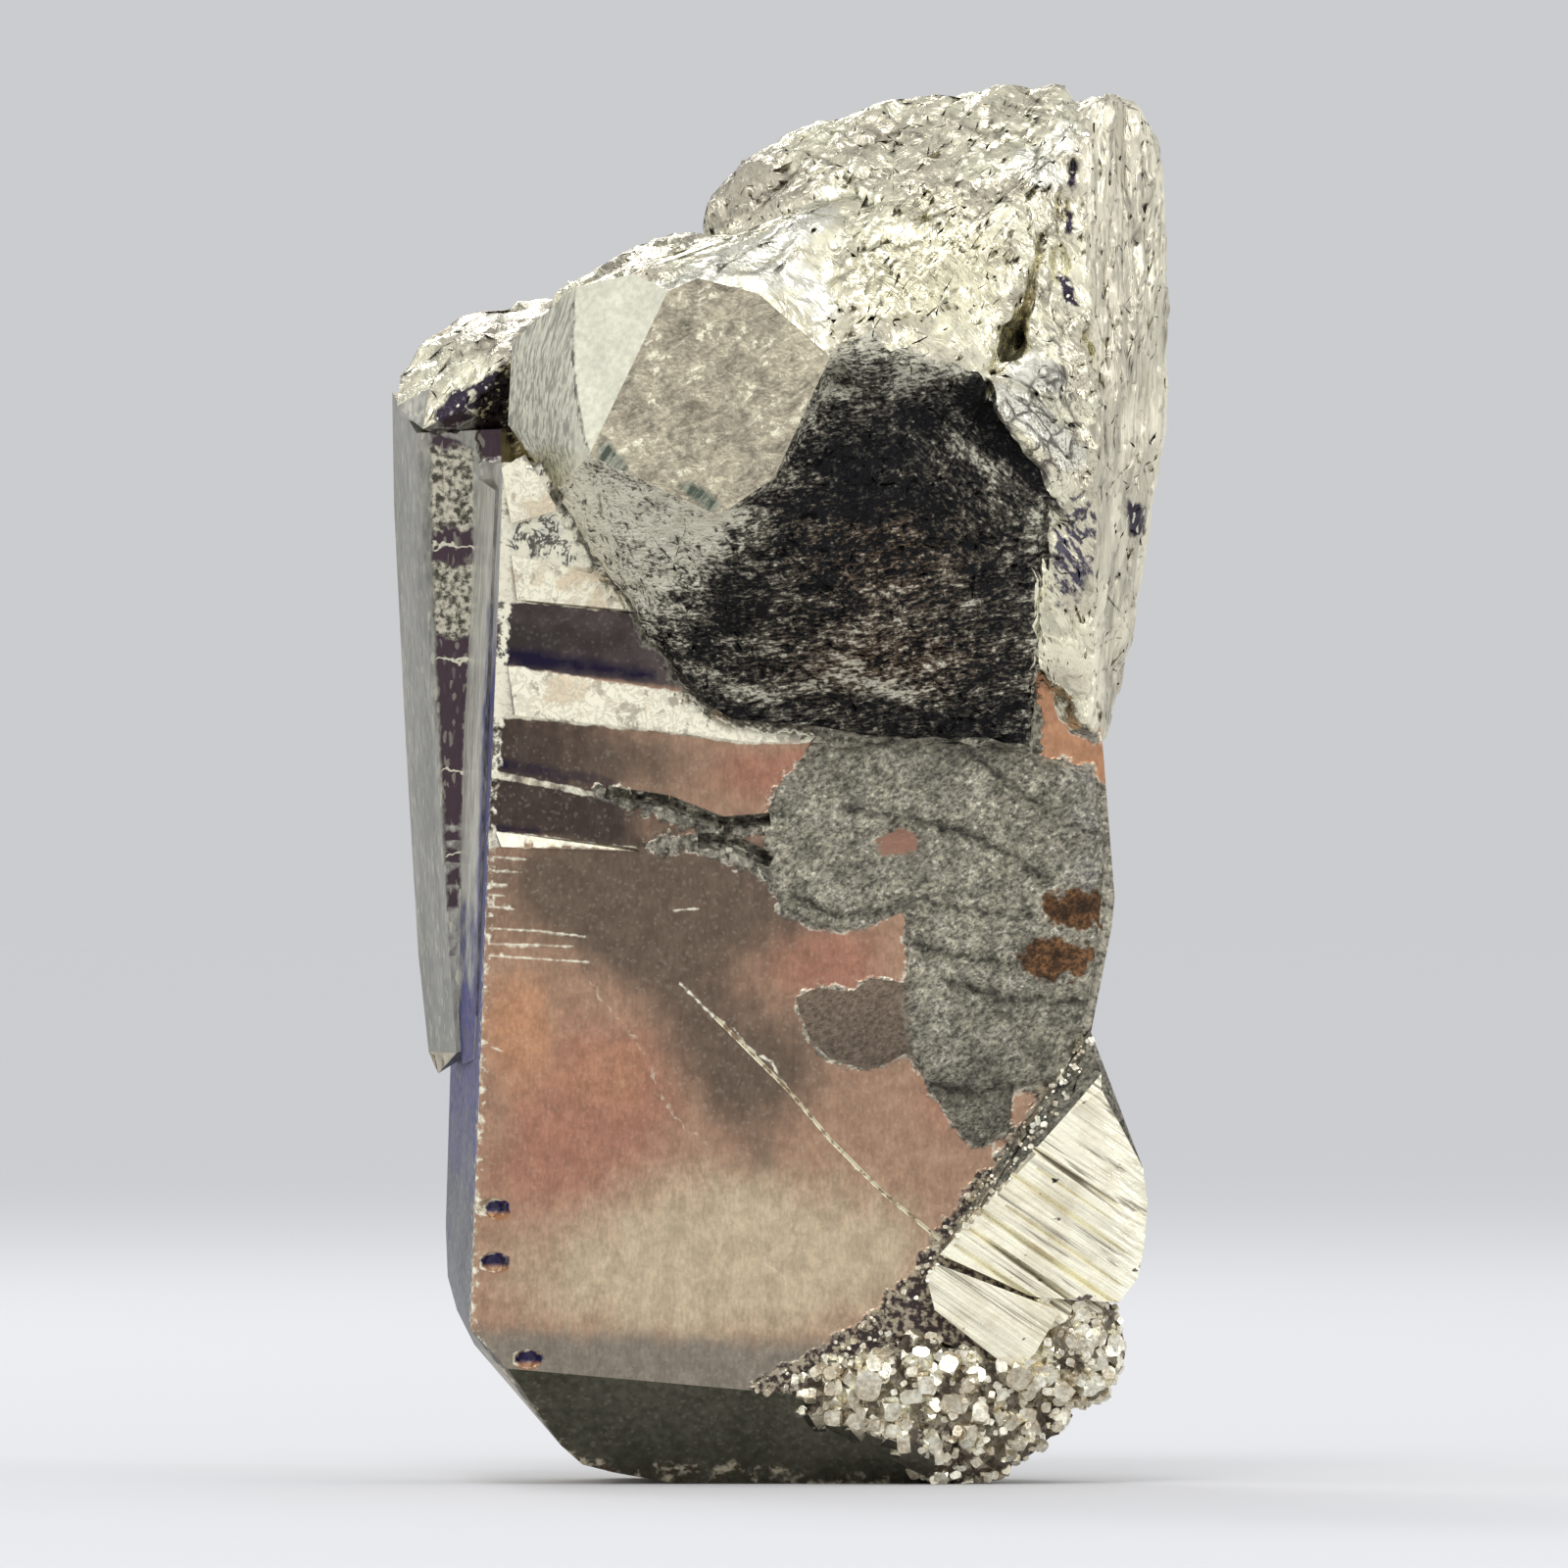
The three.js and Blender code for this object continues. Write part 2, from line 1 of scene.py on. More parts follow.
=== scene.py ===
"""Looks of a pyrite cluster: its detailed surface, finishes, floor, lights and camera.

All sizes here are in millimetres and all outlines are on the cluster's front, as x to the
right and z up, measured in the frame in which the tall crystal's front face meets y = 0.
Meshes are handed over in metres, in the row frame of the solid.
"""

from __future__ import annotations

import logging
import math
from dataclasses import dataclass, field, replace
from enum import Enum

import bmesh
import bpy
import numpy as np
from bpy.types import ID, Material, Node, NodeSocket, NodeTree, Object
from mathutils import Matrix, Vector, noise
from mathutils.geometry import delaunay_2d_cdt
from mathutils.kdtree import KDTree

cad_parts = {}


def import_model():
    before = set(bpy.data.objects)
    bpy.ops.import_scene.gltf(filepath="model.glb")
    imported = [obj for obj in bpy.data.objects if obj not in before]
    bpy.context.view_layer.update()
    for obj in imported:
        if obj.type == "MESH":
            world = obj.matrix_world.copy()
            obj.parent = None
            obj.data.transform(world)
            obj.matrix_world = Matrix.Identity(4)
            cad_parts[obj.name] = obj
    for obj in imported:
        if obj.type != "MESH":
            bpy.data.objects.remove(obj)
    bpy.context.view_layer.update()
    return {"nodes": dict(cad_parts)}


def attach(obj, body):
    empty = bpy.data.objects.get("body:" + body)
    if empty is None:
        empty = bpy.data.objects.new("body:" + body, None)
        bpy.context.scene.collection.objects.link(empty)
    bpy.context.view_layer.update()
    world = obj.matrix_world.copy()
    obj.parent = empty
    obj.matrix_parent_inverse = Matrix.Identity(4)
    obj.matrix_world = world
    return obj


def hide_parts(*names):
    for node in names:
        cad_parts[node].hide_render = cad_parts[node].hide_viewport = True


LOG = logging.getLogger("pyrite")
NODE = "pyrite_cluster"
MM = 0.001
ROW_SHIFT = np.array([-0.11, 8.758, 0.0])  # from the row frame to the front face's frame
FACE_TURN = 0.105  # how far the tall crystal's front face recedes for each mm to the right
FACE_EDGE_X = -15.0  # where that face meets y = 0
TRACE_STEP = 0.17  # how far apart the mesh points lie along a marking
FLAT = 0.012  # how far a flat face's corners may lie off its plane

Array = np.ndarray
Triple = tuple[float, float, float]
Outline = tuple[tuple[float, float], ...]
Colour = Triple


class Zone(Enum):
    """The kinds of surface on the cluster, in the order of their material slots."""

    FACE = 0
    BEVEL = 1
    SIDE = 2
    PLATE = 3
    TAN = 4
    PALE = 5
    CRUST = 6
    STRIATED = 7
    DRUSE = 8
    BROKEN = 9
    DARK = 10
    RIDGE = 11
    PLAIN = 12
    BACK = 13


ROUGH_ZONES = {Zone.DRUSE, Zone.BROKEN, Zone.DARK, Zone.RIDGE, Zone.BACK, Zone.CRUST}


def add_object(name: str, data: ID) -> Object:
    """Makes an object and links it to the scene."""
    made = bpy.data.objects.new(name, data)
    bpy.context.scene.collection.objects.link(made)
    return made


# Outlines on the front


@dataclass(frozen=True)
class FrontMap:
    """Where each finish and marking lies on the front of the cluster."""

    dark_slope: Outline = (
        (3, 58.8), (10, 56.6), (10.9, 54.3), (12.15, 52.75), (13.45, 51.3), (13.45, 48.15),
        (12.95, 45.6), (12.95, 41.75), (12.9, 36.8), (-5.6, 38.6), (-7.6, 43.6), (-12.2, 50.6),
        (-9.9, 52.3), (-3.35, 49.3), (-0.5, 51.3), (2.35, 57.5),
    )
    striated: Outline = (
        (15.2, 23.6), (14.2, 18.9), (12.8, 16.85), (10.25, 14.3), (7.6, 11.5), (6.9, 9.6),
        (9.9, 7.2), (12, 5.7), (13.2, 7.4), (14.4, 9), (19.5, 9.4), (19.5, 20),
    )
    druse: Outline = (
        (-1.9, 4.9), (1.5, 6.3), (3.55, 6.6), (6.75, 8.6), (7.6, 8.4), (10.6, 6.4), (12.4, 5.8),
        (13.4, 7.4), (14.6, 8.95), (19, 9), (19, 0), (7, -0.5), (7.2, 1.2), (5.45, 2.6),
        (1.5, 3.8),
    )
    beyond_seam: Outline = (
        (17, 24.4), (15.9, 23.2), (13.6, 20.3), (11.9, 17.8), (10, 15.5), (7.5, 12.2),
        (6.2, 10.1), (3.8, 8), (1.2, 6.4), (-1.6, 5.1), (-1.6, 2), (20, 2), (20, 24.4),
    )
    ridge: Outline = (
        (14.9, 72.5), (15.3, 66), (15.6, 60), (16, 55), (16, 49), (15.9, 44),
        (15.3, 36), (21, 36), (21, 72.5),
    )
    slab: Outline = (
        (-21, 56.3), (-19.6, 56.2), (-18.2, 54.6), (-14.6, 54.6), (-14, 50), (-15, 36),
        (-15.6, 21), (-18.6, 20), (-21, 40),
    )
    groove: Outline = (
        (-18.1, 54), (-15.95, 53), (-15.95, 49), (-16.05, 44), (-16.4, 38),
        (-16.6, 32), (-16.75, 27), (-17.15, 27), (-17.4, 33), (-17.8, 42),
        (-18.1, 50),
    )
    # Hollows that are painted dark as shade.
    recesses: tuple[Outline, ...] = (
        ((-15.8, 56.2), (-14.2, 57.6), (-13.7, 55), (-13.9, 52.6), (-15.7, 52.4)),
        ((-18, 54.5), (-17.2, 55.9), (-16.1, 56.3), (-16.3, 54.6), (-17, 53.7)),
        ((13.85, 62), (14.6, 61.6), (15, 60), (14.3, 60.3)),
        ((14.35, 65), (14.75, 64.8), (14.8, 63.8), (14.3, 63.9)),
        ((14.5, 67.7), (14.9, 67.5), (14.8, 65.9), (14.5, 66.1)),
        ((17.45, 50.4), (18.5, 49.9), (18.4, 48.6), (17.6, 48.4)),
    )
    dark_bands: tuple[Outline, ...] = (
        (
            (-15, 45.2), (-7.85, 44.8), (-4.95, 42.55), (-5.1, 40.75), (-8.45, 41.05),
            (-15, 41.95),
        ),
    )
    blue_bands: tuple[Outline, ...] = (
        ((-15, 42.9), (-9, 42), (-6.6, 41.5), (-6.6, 41.1), (-15, 42)),
        ((-15.2, 37.2), (-8.8, 36), (-8.8, 35.75), (-15.2, 36.7)),
        ((-15.2, 33.7), (-12.6, 33.4), (-12.6, 33.2), (-15.2, 33.3)),
    )
    bright_bands: tuple[Outline, ...] = (
        (
            (-15, 41.95), (-8.45, 40.95), (-4.5, 40.35), (-2.55, 39.2), (2.35, 38.6),
            (2.35, 38), (-1.75, 37.85), (-6.55, 38.5), (-15, 39.3),
        ),
        ((-15, 47.6), (-8.9, 46.6), (-6.3, 44.5), (-8.15, 44.6), (-15, 45.2)),
        ((-14.5, 52.3), (-13.2, 52.8), (-11.4, 49.8), (-13.9, 49)),
        ((-15.2, 36.55), (-9.1, 35.25), (-9.1, 35.05), (-15.2, 36.25)),
        ((-15.2, 33.45), (-7.35, 32.5), (-15.2, 32.6)),
    )
    fissure: tuple[Outline, ...] = (
        ((-9.2, 35.4), (-7, 34.7), (-5.2, 34.1), (-3.3, 33.5), (-1.2, 33.6)),
        ((-6.6, 32.6), (-4.6, 32.9), (-3.5, 32.4), (-2, 31.9), (-0.6, 31.2)),
        ((-3.5, 33.4), (-3.6, 32.5)),
    )
    bright_crack: Outline = (
        (-5.3, 25.6), (-3.55, 23.9), (-2.55, 23.35), (-1.95, 22.4), (-0.65, 21.6), (0.15, 20.2),
        (1.1, 19.2), (2.5, 17.45), (3.9, 16.05), (5, 15.05), (5.8, 14.3),
    )
    faint_cracks: tuple[Outline, ...] = (
        (
            (-10.05, 25.9), (-8.65, 24), (-7.35, 22.55), (-6.7, 21.15), (-6.25, 19.85),
            (-4.95, 18.1), (-3.7, 17.3),
        ),
        ((-3.5, 13.9), (-2.2, 12.9), (-0.6, 11.2), (0.3, 10.1)),
    )
    ticks: tuple[Outline, ...] = (
        ((-15, 28.45), (-12.4, 28.3), (-10, 28)),
        ((-15, 27.65), (-12.6, 27.6), (-10.6, 27.5)),
        ((-15, 27.05), (-12, 26.85), (-9.8, 26.7)),
        ((-15, 32.1), (-13, 31.95)),
        ((-15, 31.4), (-13.4, 31.3)),
        ((-15, 30.7), (-14, 30.65)),
        ((-15, 30.15), (-14.1, 30.1)),
        ((-15, 29.55), (-13.6, 29.4)),
        ((-5.6, 29.35), (-4.2, 29.45)),
        ((-14.9, 22.4), (-14.2, 22.1)),
    )
    seam: Outline = (
        (15.95, 23.5), (14, 20.4), (12.3, 17.6), (10.4, 15.4), (7.9, 12), (6.4, 9.6),
        (4, 7.4), (1.5, 5.9), (-1.2, 5),
    )
    left_edge: Outline = (
        (-14.2, 52.2), (-14.3, 44), (-14.75, 36), (-15.1, 28), (-15.4, 20), (-15.85, 8.5),
        (-15.2, 6.6),
    )
    foot_edge: Outline = (
        (-15.3, 6.6), (-13.2, 4.2), (-12, 2.2), (-10.6, 1), (-7, 0.6), (-3, 0.7),
        (1, 0.3), (5, 0.1),
    )
    rust: tuple[Outline, ...] = (
        ((13.2, 29.9), (14.6, 30.3), (16.7, 30.2), (16.7, 28.7), (15.2, 28.4), (13.4, 28.9)),
        ((12.4, 27.7), (14, 27.9), (15.7, 27.4), (15.3, 26.3), (13.6, 25.8), (12.2, 26.4)),
    )
    bare_in_crust: Outline = ((4.65, 32.9), (5.8, 33.5), (6.9, 33.1), (6.6, 32.2), (5, 32.1))
    brown_film: Outline = (
        (0.2, 25.6), (1, 26.1), (3.2, 25.9), (5.4, 26.3), (6, 25), (6.2, 22), (5.6, 20.6),
        (3, 20.6), (1.2, 21.8), (0.2, 23.8),
    )
    creases: tuple[Outline, ...] = (
        ((3.2, 34.5), (6.4, 34), (9.6, 33.2), (12, 31.8), (13.4, 30.8)),
        ((6.4, 30.2), (8, 29.6), (10.4, 29.2), (12.8, 29)),
        ((8, 25.8), (11.2, 24.8), (15.6, 24.6)),
        ((6.8, 20.6), (9.6, 20), (12, 20.4)),
        ((9.6, 37.4), (12, 35.4), (14.4, 33.8), (16, 33.2)),
        ((6, 27.8), (8.8, 27), (12, 26.6)),
        ((0.4, 30.2), (2.6, 29), (5.4, 29.3), (6.6, 30)),
    )
    # Lines of the folds, painted dark as shade under their ridges.
    folds: tuple[Outline, ...] = (
        ((8.4, 70), (10, 68.9), (11.7, 69), (13.4, 68.5), (14.7, 69.3)),
        ((7.5, 62.9), (8.1, 62.2), (8.5, 61.1)),
        ((9.2, 62.6), (10, 62.1), (11, 62.4), (11.7, 62.1)),
        ((4.4, 68.8), (6, 69), (7.9, 68.8)),
        ((4.2, 65.2), (4, 62.4), (4.4, 60.2)),
        ((1, 68.2), (3.4, 66.8), (5.4, 66.9)),
        ((-6, 63.2), (-3.2, 64.4), (0.6, 66.4)),
        ((17.2, 53.3), (18.1, 53.4)),
        ((16.2, 60), (18.4, 60.3)),
        ((-17.2, 58.4), (-15.4, 59.4), (-13.6, 59.6)),
    )
    # Crests where a white highlight is painted.
    white_crests: tuple[Outline, ...] = (
        ((-9.5, 60.2), (-6, 60.6), (-3.4, 62.2), (-0.4, 63.4), (2, 64.8)),
        ((-1, 61.4), (0.6, 61.8), (2, 60)),
        ((12.6, 67.6), (13.4, 66.8)),
        ((14.6, 68.8), (16.4, 69)),
        ((10.8, 55.4), (12.6, 54.6), (14.6, 52.4)),
        ((11.8, 57.2), (13.6, 56.4)),
    )
    notches: tuple[Outline, ...] = (
        ((-9.25, 53.5), (-7.85, 52.1), (-8.2, 51.3), (-9.5, 52)),
        ((-5.4, 50.95), (-4.6, 51.15), (-3.2, 50.05), (-3.6, 49.45)),
    )
    face_crack: Outline = (
        (-10.75, 60.3), (-10.75, 57.6), (-10.6, 55.6), (-10.3, 53.9), (-9.8, 52.4),
    )
    violet: Outline = (
        (13.3, 50.7), (15.9, 50.4), (16.1, 47.5), (15.2, 45.2), (13.4, 45), (12.9, 47.8),
    )
    pits: tuple[tuple[float, float], ...] = ((-14.55, 14.1), (-14.7, 11.4), (-13, 6.45))


def segment_distance(points: Array, line: Outline, closed: bool = False) -> Array:
    """Distance from points to a polyline.

    Args:
        points: Pairs of x and z.
        line: The polyline's corners.
        closed: Whether the last corner joins the first.

    Returns:
        One distance for each point.
    """
    corners = np.array(line, float)
    ends = np.roll(corners, -1, axis=0)
    if not closed:
        corners, ends = corners[:-1], ends[:-1]
    best = np.full(len(points), np.inf)
    for a, b in zip(corners, ends):
        along = b - a
        share = np.clip(((points - a) @ along) / max(along @ along, 1e-12), 0, 1)
        best = np.minimum(best, np.linalg.norm(points - a - share[:, None] * along, axis=1))
    return best


def inside(points: Array, outline: Outline) -> Array:
    """Whether each point lies inside a closed outline.

    Args:
        points: Pairs of x and z.
        outline: The outline's corners.

    Returns:
        One truth value for each point.
    """
    corners = np.array(outline, float)
    return enclosed(points, corners, np.roll(corners, -1, axis=0))


def enclosed(points: Array, starts: Array, ends: Array) -> Array:
    """Whether each point lies inside the outline that some segments make.

    Args:
        points: The points, as pairs.
        starts: Where the segments start.
        ends: Where they end.

    Returns:
        One truth value for each point.
    """
    crossed = np.zeros(len(points), bool)
    for (ax, ay), (bx, by) in zip(starts, ends):
        spans = (points[:, 1] < ay) != (points[:, 1] < by)
        if spans.any():
            at = ax + (points[:, 1] - ay) * (bx - ax) / (by - ay)
            crossed ^= spans & (points[:, 0] < at)
    return crossed


def signed_distance(points: Array, outlines: tuple[Outline, ...]) -> Array:
    """Distance to the nearest of several outlines, below zero inside one.

    Args:
        points: Pairs of x and z.
        outlines: The closed outlines.

    Returns:
        One signed distance for each point.
    """
    best = np.full(len(points), np.inf)
    for outline in outlines:
        gap = segment_distance(points, outline, closed=True)
        best = np.minimum(best, np.where(inside(points, outline), -gap, gap))
    return best


def trace(
    lines: tuple[Outline, ...], closed: bool = False, step: float = TRACE_STEP
) -> Array:
    """Points along polylines at an even step.

    Args:
        lines: The polylines.
        closed: Whether each polyline's last corner joins its first.
        step: How far apart the points lie.

    Returns:
        Pairs of x and z.
    """
    made = []
    for line in lines:
        corners = [np.array(c, float) for c in line]
        ends = corners[1:] + corners[:1] if closed else corners[1:]
        for a, b in zip(corners, ends):
            count = max(1, int(round(float(np.linalg.norm(b - a)) / step)))
            made += [a + (b - a) * k / count for k in range(count)]
    return np.array(made)


def wander(points: Array, reach: float = 0.11) -> Array:
    """Points moved a little here and there, so that lines measured from them wind.

    Args:
        points: Pairs of x and z.
        reach: How far they move, in mm.

    Returns:
        The moved points.
    """
    x, z = points[:, 0], points[:, 1]
    right = np.sin(3.1 * x + 5.3 * z) + 0.6 * np.sin(7.7 * x - 6.1 * z + 1.3)
    up = np.sin(4.3 * x - 3.7 * z + 2.0) + 0.6 * np.sin(6.9 * z + 8.3 * x)
    return points + reach * np.column_stack([right, up])


def fade(value: Array, soft: float) -> Array:
    """Falls softly from 1 below zero to 0 above it."""
    return 1 / (1 + np.exp(value / soft))


# The detailed surface


@dataclass
class Facet:
    """One flat face of the solid: its triangles, its plane and its kind of surface."""

    triangles: list[int]
    normal: Array
    middle: Array
    area: float
    zone: Zone = Zone.PLAIN
    spacing: float = 1.0


@dataclass
class SolidFacets:
    """Reads the solid and groups its triangles into flat faces."""

    points: Array = field(init=False)
    triangles: Array = field(init=False)
    facets: list[Facet] = field(default_factory=list)
    facet_of: Array = field(init=False)

    def read(self, node: Object) -> None:
        """Reads a node's mesh and welds its corners.

        Args:
            node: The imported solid's object.
        """
        mesh = node.data
        flat = np.empty(len(mesh.vertices) * 3, np.float32)
        mesh.vertices.foreach_get("co", flat)
        mesh.calc_loop_triangles()
        corners = np.empty(len(mesh.loop_triangles) * 3, np.int32)
        mesh.loop_triangles.foreach_get("vertices", corners)
        metres = np.round(flat.reshape(-1, 3).astype(float), 7)
        welded, back = np.unique(metres, axis=0, return_inverse=True)
        tris = back.reshape(-1)[corners].reshape(-1, 3)
        alive = (
            (tris[:, 0] != tris[:, 1]) & (tris[:, 1] != tris[:, 2]) & (tris[:, 2] != tris[:, 0])
        )
        self.points = welded / MM + ROW_SHIFT
        self.triangles = tris[alive]

    def group(self, turn_degrees: float = 0.4) -> None:
        """Joins neighbouring triangles that lie in one plane.

        Args:
            turn_degrees: How far two normals may differ in one flat face.
        """
        a, b, c = (self.points[self.triangles[:, k]] for k in range(3))
        cross = np.cross(b - a, c - a)
        double = np.linalg.norm(cross, axis=1)
        normals = cross / np.maximum(double, 1e-12)[:, None]
        parent = list(range(len(self.triangles)))

        def root(i: int) -> int:
            """The first triangle of i's group."""
            while parent[i] != i:
                parent[i] = parent[parent[i]]
                i = parent[i]
            return i

        limit = math.cos(math.radians(turn_degrees))
        owner: dict[tuple[int, int], int] = {}
        for i, tri in enumerate(self.triangles):
            for k in range(3):
                edge = (int(tri[k]), int(tri[(k + 1) % 3]))
                other = owner.get((edge[1], edge[0]))
                owner[edge] = i
                if other is None or min(double[i], double[other]) < 2e-4:
                    continue
                if normals[i] @ normals[other] > limit:
                    parent[root(i)] = root(other)
        groups: dict[int, list[int]] = {}
        for i in range(len(self.triangles)):
            groups.setdefault(root(i), []).append(i)
        self.facet_of = np.zeros(len(self.triangles), int)
        for members in groups.values():
            for part in self._flat_parts(members, cross):
                total = cross[part].sum(axis=0)
                size = float(np.linalg.norm(total))
                corners = self.points[self.triangles[part]].reshape(-1, 3)
                weights = np.repeat(double[part], 3) + 1e-9
                self.facet_of[part] = len(self.facets)
                self.facets.append(
                    Facet(
                        triangles=part,
                        normal=total / max(size, 1e-12),
                        middle=np.average(corners, axis=0, weights=weights),
                        area=size / 2,
                    )
                )

    def _flat_parts(self, members: list[int], cross: Array) -> list[list[int]]:
        """Splits a group back into triangles where it isn't truly flat.

        Args:
            members: The group's triangles.
            cross: Each triangle's normal times twice its area.

        Returns:
            The group, or its triangles one by one.
        """
        if len(members) == 1:
            return [members]
        total = cross[members].sum(axis=0)
        normal = total / max(np.linalg.norm(total), 1e-12)
        heights = self.points[self.triangles[members]].reshape(-1, 3) @ normal
        if heights.max() - heights.min() < FLAT:
            return [members]
        return [[i] for i in members]


@dataclass
class ZonePlan:
    """Says what kind of surface each flat face has, and how finely it is meshed."""

    front: FrontMap
    fine: float = 0.27
    medium: float = 0.4
    coarse: float = 0.75
    wide: float = 1.4

    def sort(self, solid: SolidFacets) -> None:
        """Gives every facet of the solid its zone and spacing."""
        for facet in solid.facets:
            facet.zone = self._zone(facet)
            facet.spacing = self._spacing(facet)

    def _on_main_face(self, facet: Facet) -> float:
        """How far a facet stands proud of the tall crystal's front face."""
        x, y, _ = facet.middle
        return FACE_TURN * (x - FACE_EDGE_X) - y

    def _zone(self, facet: Facet) -> Zone:
        """The facet's kind of surface.

        Args:
            facet: A flat face of the solid.

        Returns:
            Its zone.
        """
        x, y, z = facet.middle
        _, ny, nz = facet.normal
        if nz < -0.99 and z < 0.2:
            return Zone.BACK
        if y > 11.5 and facet.area < 8 and not (x > 15 and z > 36):
            return Zone.BACK
        if y > 14.5:
            return Zone.PLAIN
        return self._left_zone(facet) or self._face_zone(facet) or self._other_zone(facet)

    def _left_zone(self, facet: Facet) -> Zone | None:
        """The zone of a facet on the left of the cluster, if it is one there."""
        x, y, z = facet.middle
        nx = facet.normal[0]
        if nx < -0.9 and -17.2 < x < -13 and y < 8.6 and z < 53:
            return Zone.SIDE
        if x < -14.0 and 20 < z < 56 and inside(np.array([[x, z]]), self.front.slab)[0]:
            return Zone.PLATE
        if x < -14 and nx < -0.85 and z < 22:
            return Zone.SIDE
        if x < -5.5 and y < 3.5 and 50.5 < z < 62 and nx < -0.3 and facet.area > 1.5:
            low = facet.normal[2] < -0.35 or (facet.area < 5 and z < 52)
            return Zone.DARK if low else Zone.PALE
        return None

    def _face_zone(self, facet: Facet) -> Zone | None:
        """The zone of a facet on or just over the broad face, if it is one there."""
        x, _, z = facet.middle
        ny = facet.normal[1]
        proud = self._on_main_face(facet)
        if z < 54 and abs(proud) < 0.03 and ny < -0.99:
            return Zone.FACE
        if x < 3 and 31 < z < 53 and -0.8 < proud < 1.1 and (ny < -0.2 or z < 40):
            return Zone.FACE
        if -1.5 < x < 17 and 16.5 < z < 38.6 and 0.03 <= proud < 1.2:
            return Zone.CRUST
        if -9 < x < 9 and 7 < z < 32 and -0.6 < proud < 0.0 and ny < 0:
            return Zone.FACE
        if x < -12 and z < 16 and proud > -0.9:
            return Zone.FACE
        return None

    def _other_zone(self, facet: Facet) -> Zone:
        """The zone of a facet on the head, the lower right or a side."""
        x, y, z = facet.middle
        ny, nz = facet.normal[1], facet.normal[2]
        at = np.array([[x, z]])
        broad = -6.2 - 0.13 * (x + 3) + 0.21 * (z - 55)
        if abs(y - broad) < 0.12 and ny < -0.9 and 49 < z < 62 and x < 3.2:
            return Zone.TAN
        if inside(at, self.front.striated)[0] and y < 9.5 and nz > -0.9:
            return Zone.STRIATED if facet.area > 0.02 or ny < -0.3 else Zone.BROKEN
        if inside(at, self.front.druse)[0] and y < 9 and facet.area < 14:
            return Zone.DRUSE
        if z < 7.5 and nz < -0.25 and y < 6:
            return Zone.BEVEL
        if inside(at, self.front.dark_slope)[0] and z > 36 and y < 2.6:
            return Zone.DARK
        if inside(at, self.front.ridge)[0]:
            return Zone.RIDGE
        if z > 38 and (facet.area < 12 or y < 9):
            return Zone.BROKEN
        return Zone.PLAIN if facet.area > 5 else Zone.BACK

    def _spacing(self, facet: Facet) -> float:
        """How far apart the facet's mesh points lie, in mm."""
        x, y, z = facet.middle
        if facet.zone == Zone.FACE:
            return self.medium
        if facet.zone in (Zone.CRUST, Zone.STRIATED, Zone.TAN, Zone.PALE):
            return self.medium * 0.8
        if facet.zone in (Zone.BROKEN, Zone.DARK, Zone.RIDGE, Zone.DRUSE):
            return self.fine if y < 5.5 else self.medium * 1.2
        if facet.zone == Zone.BACK:
            return self.coarse
        if facet.zone == Zone.PLATE:
            return self.coarse * 0.8
        return self.wide


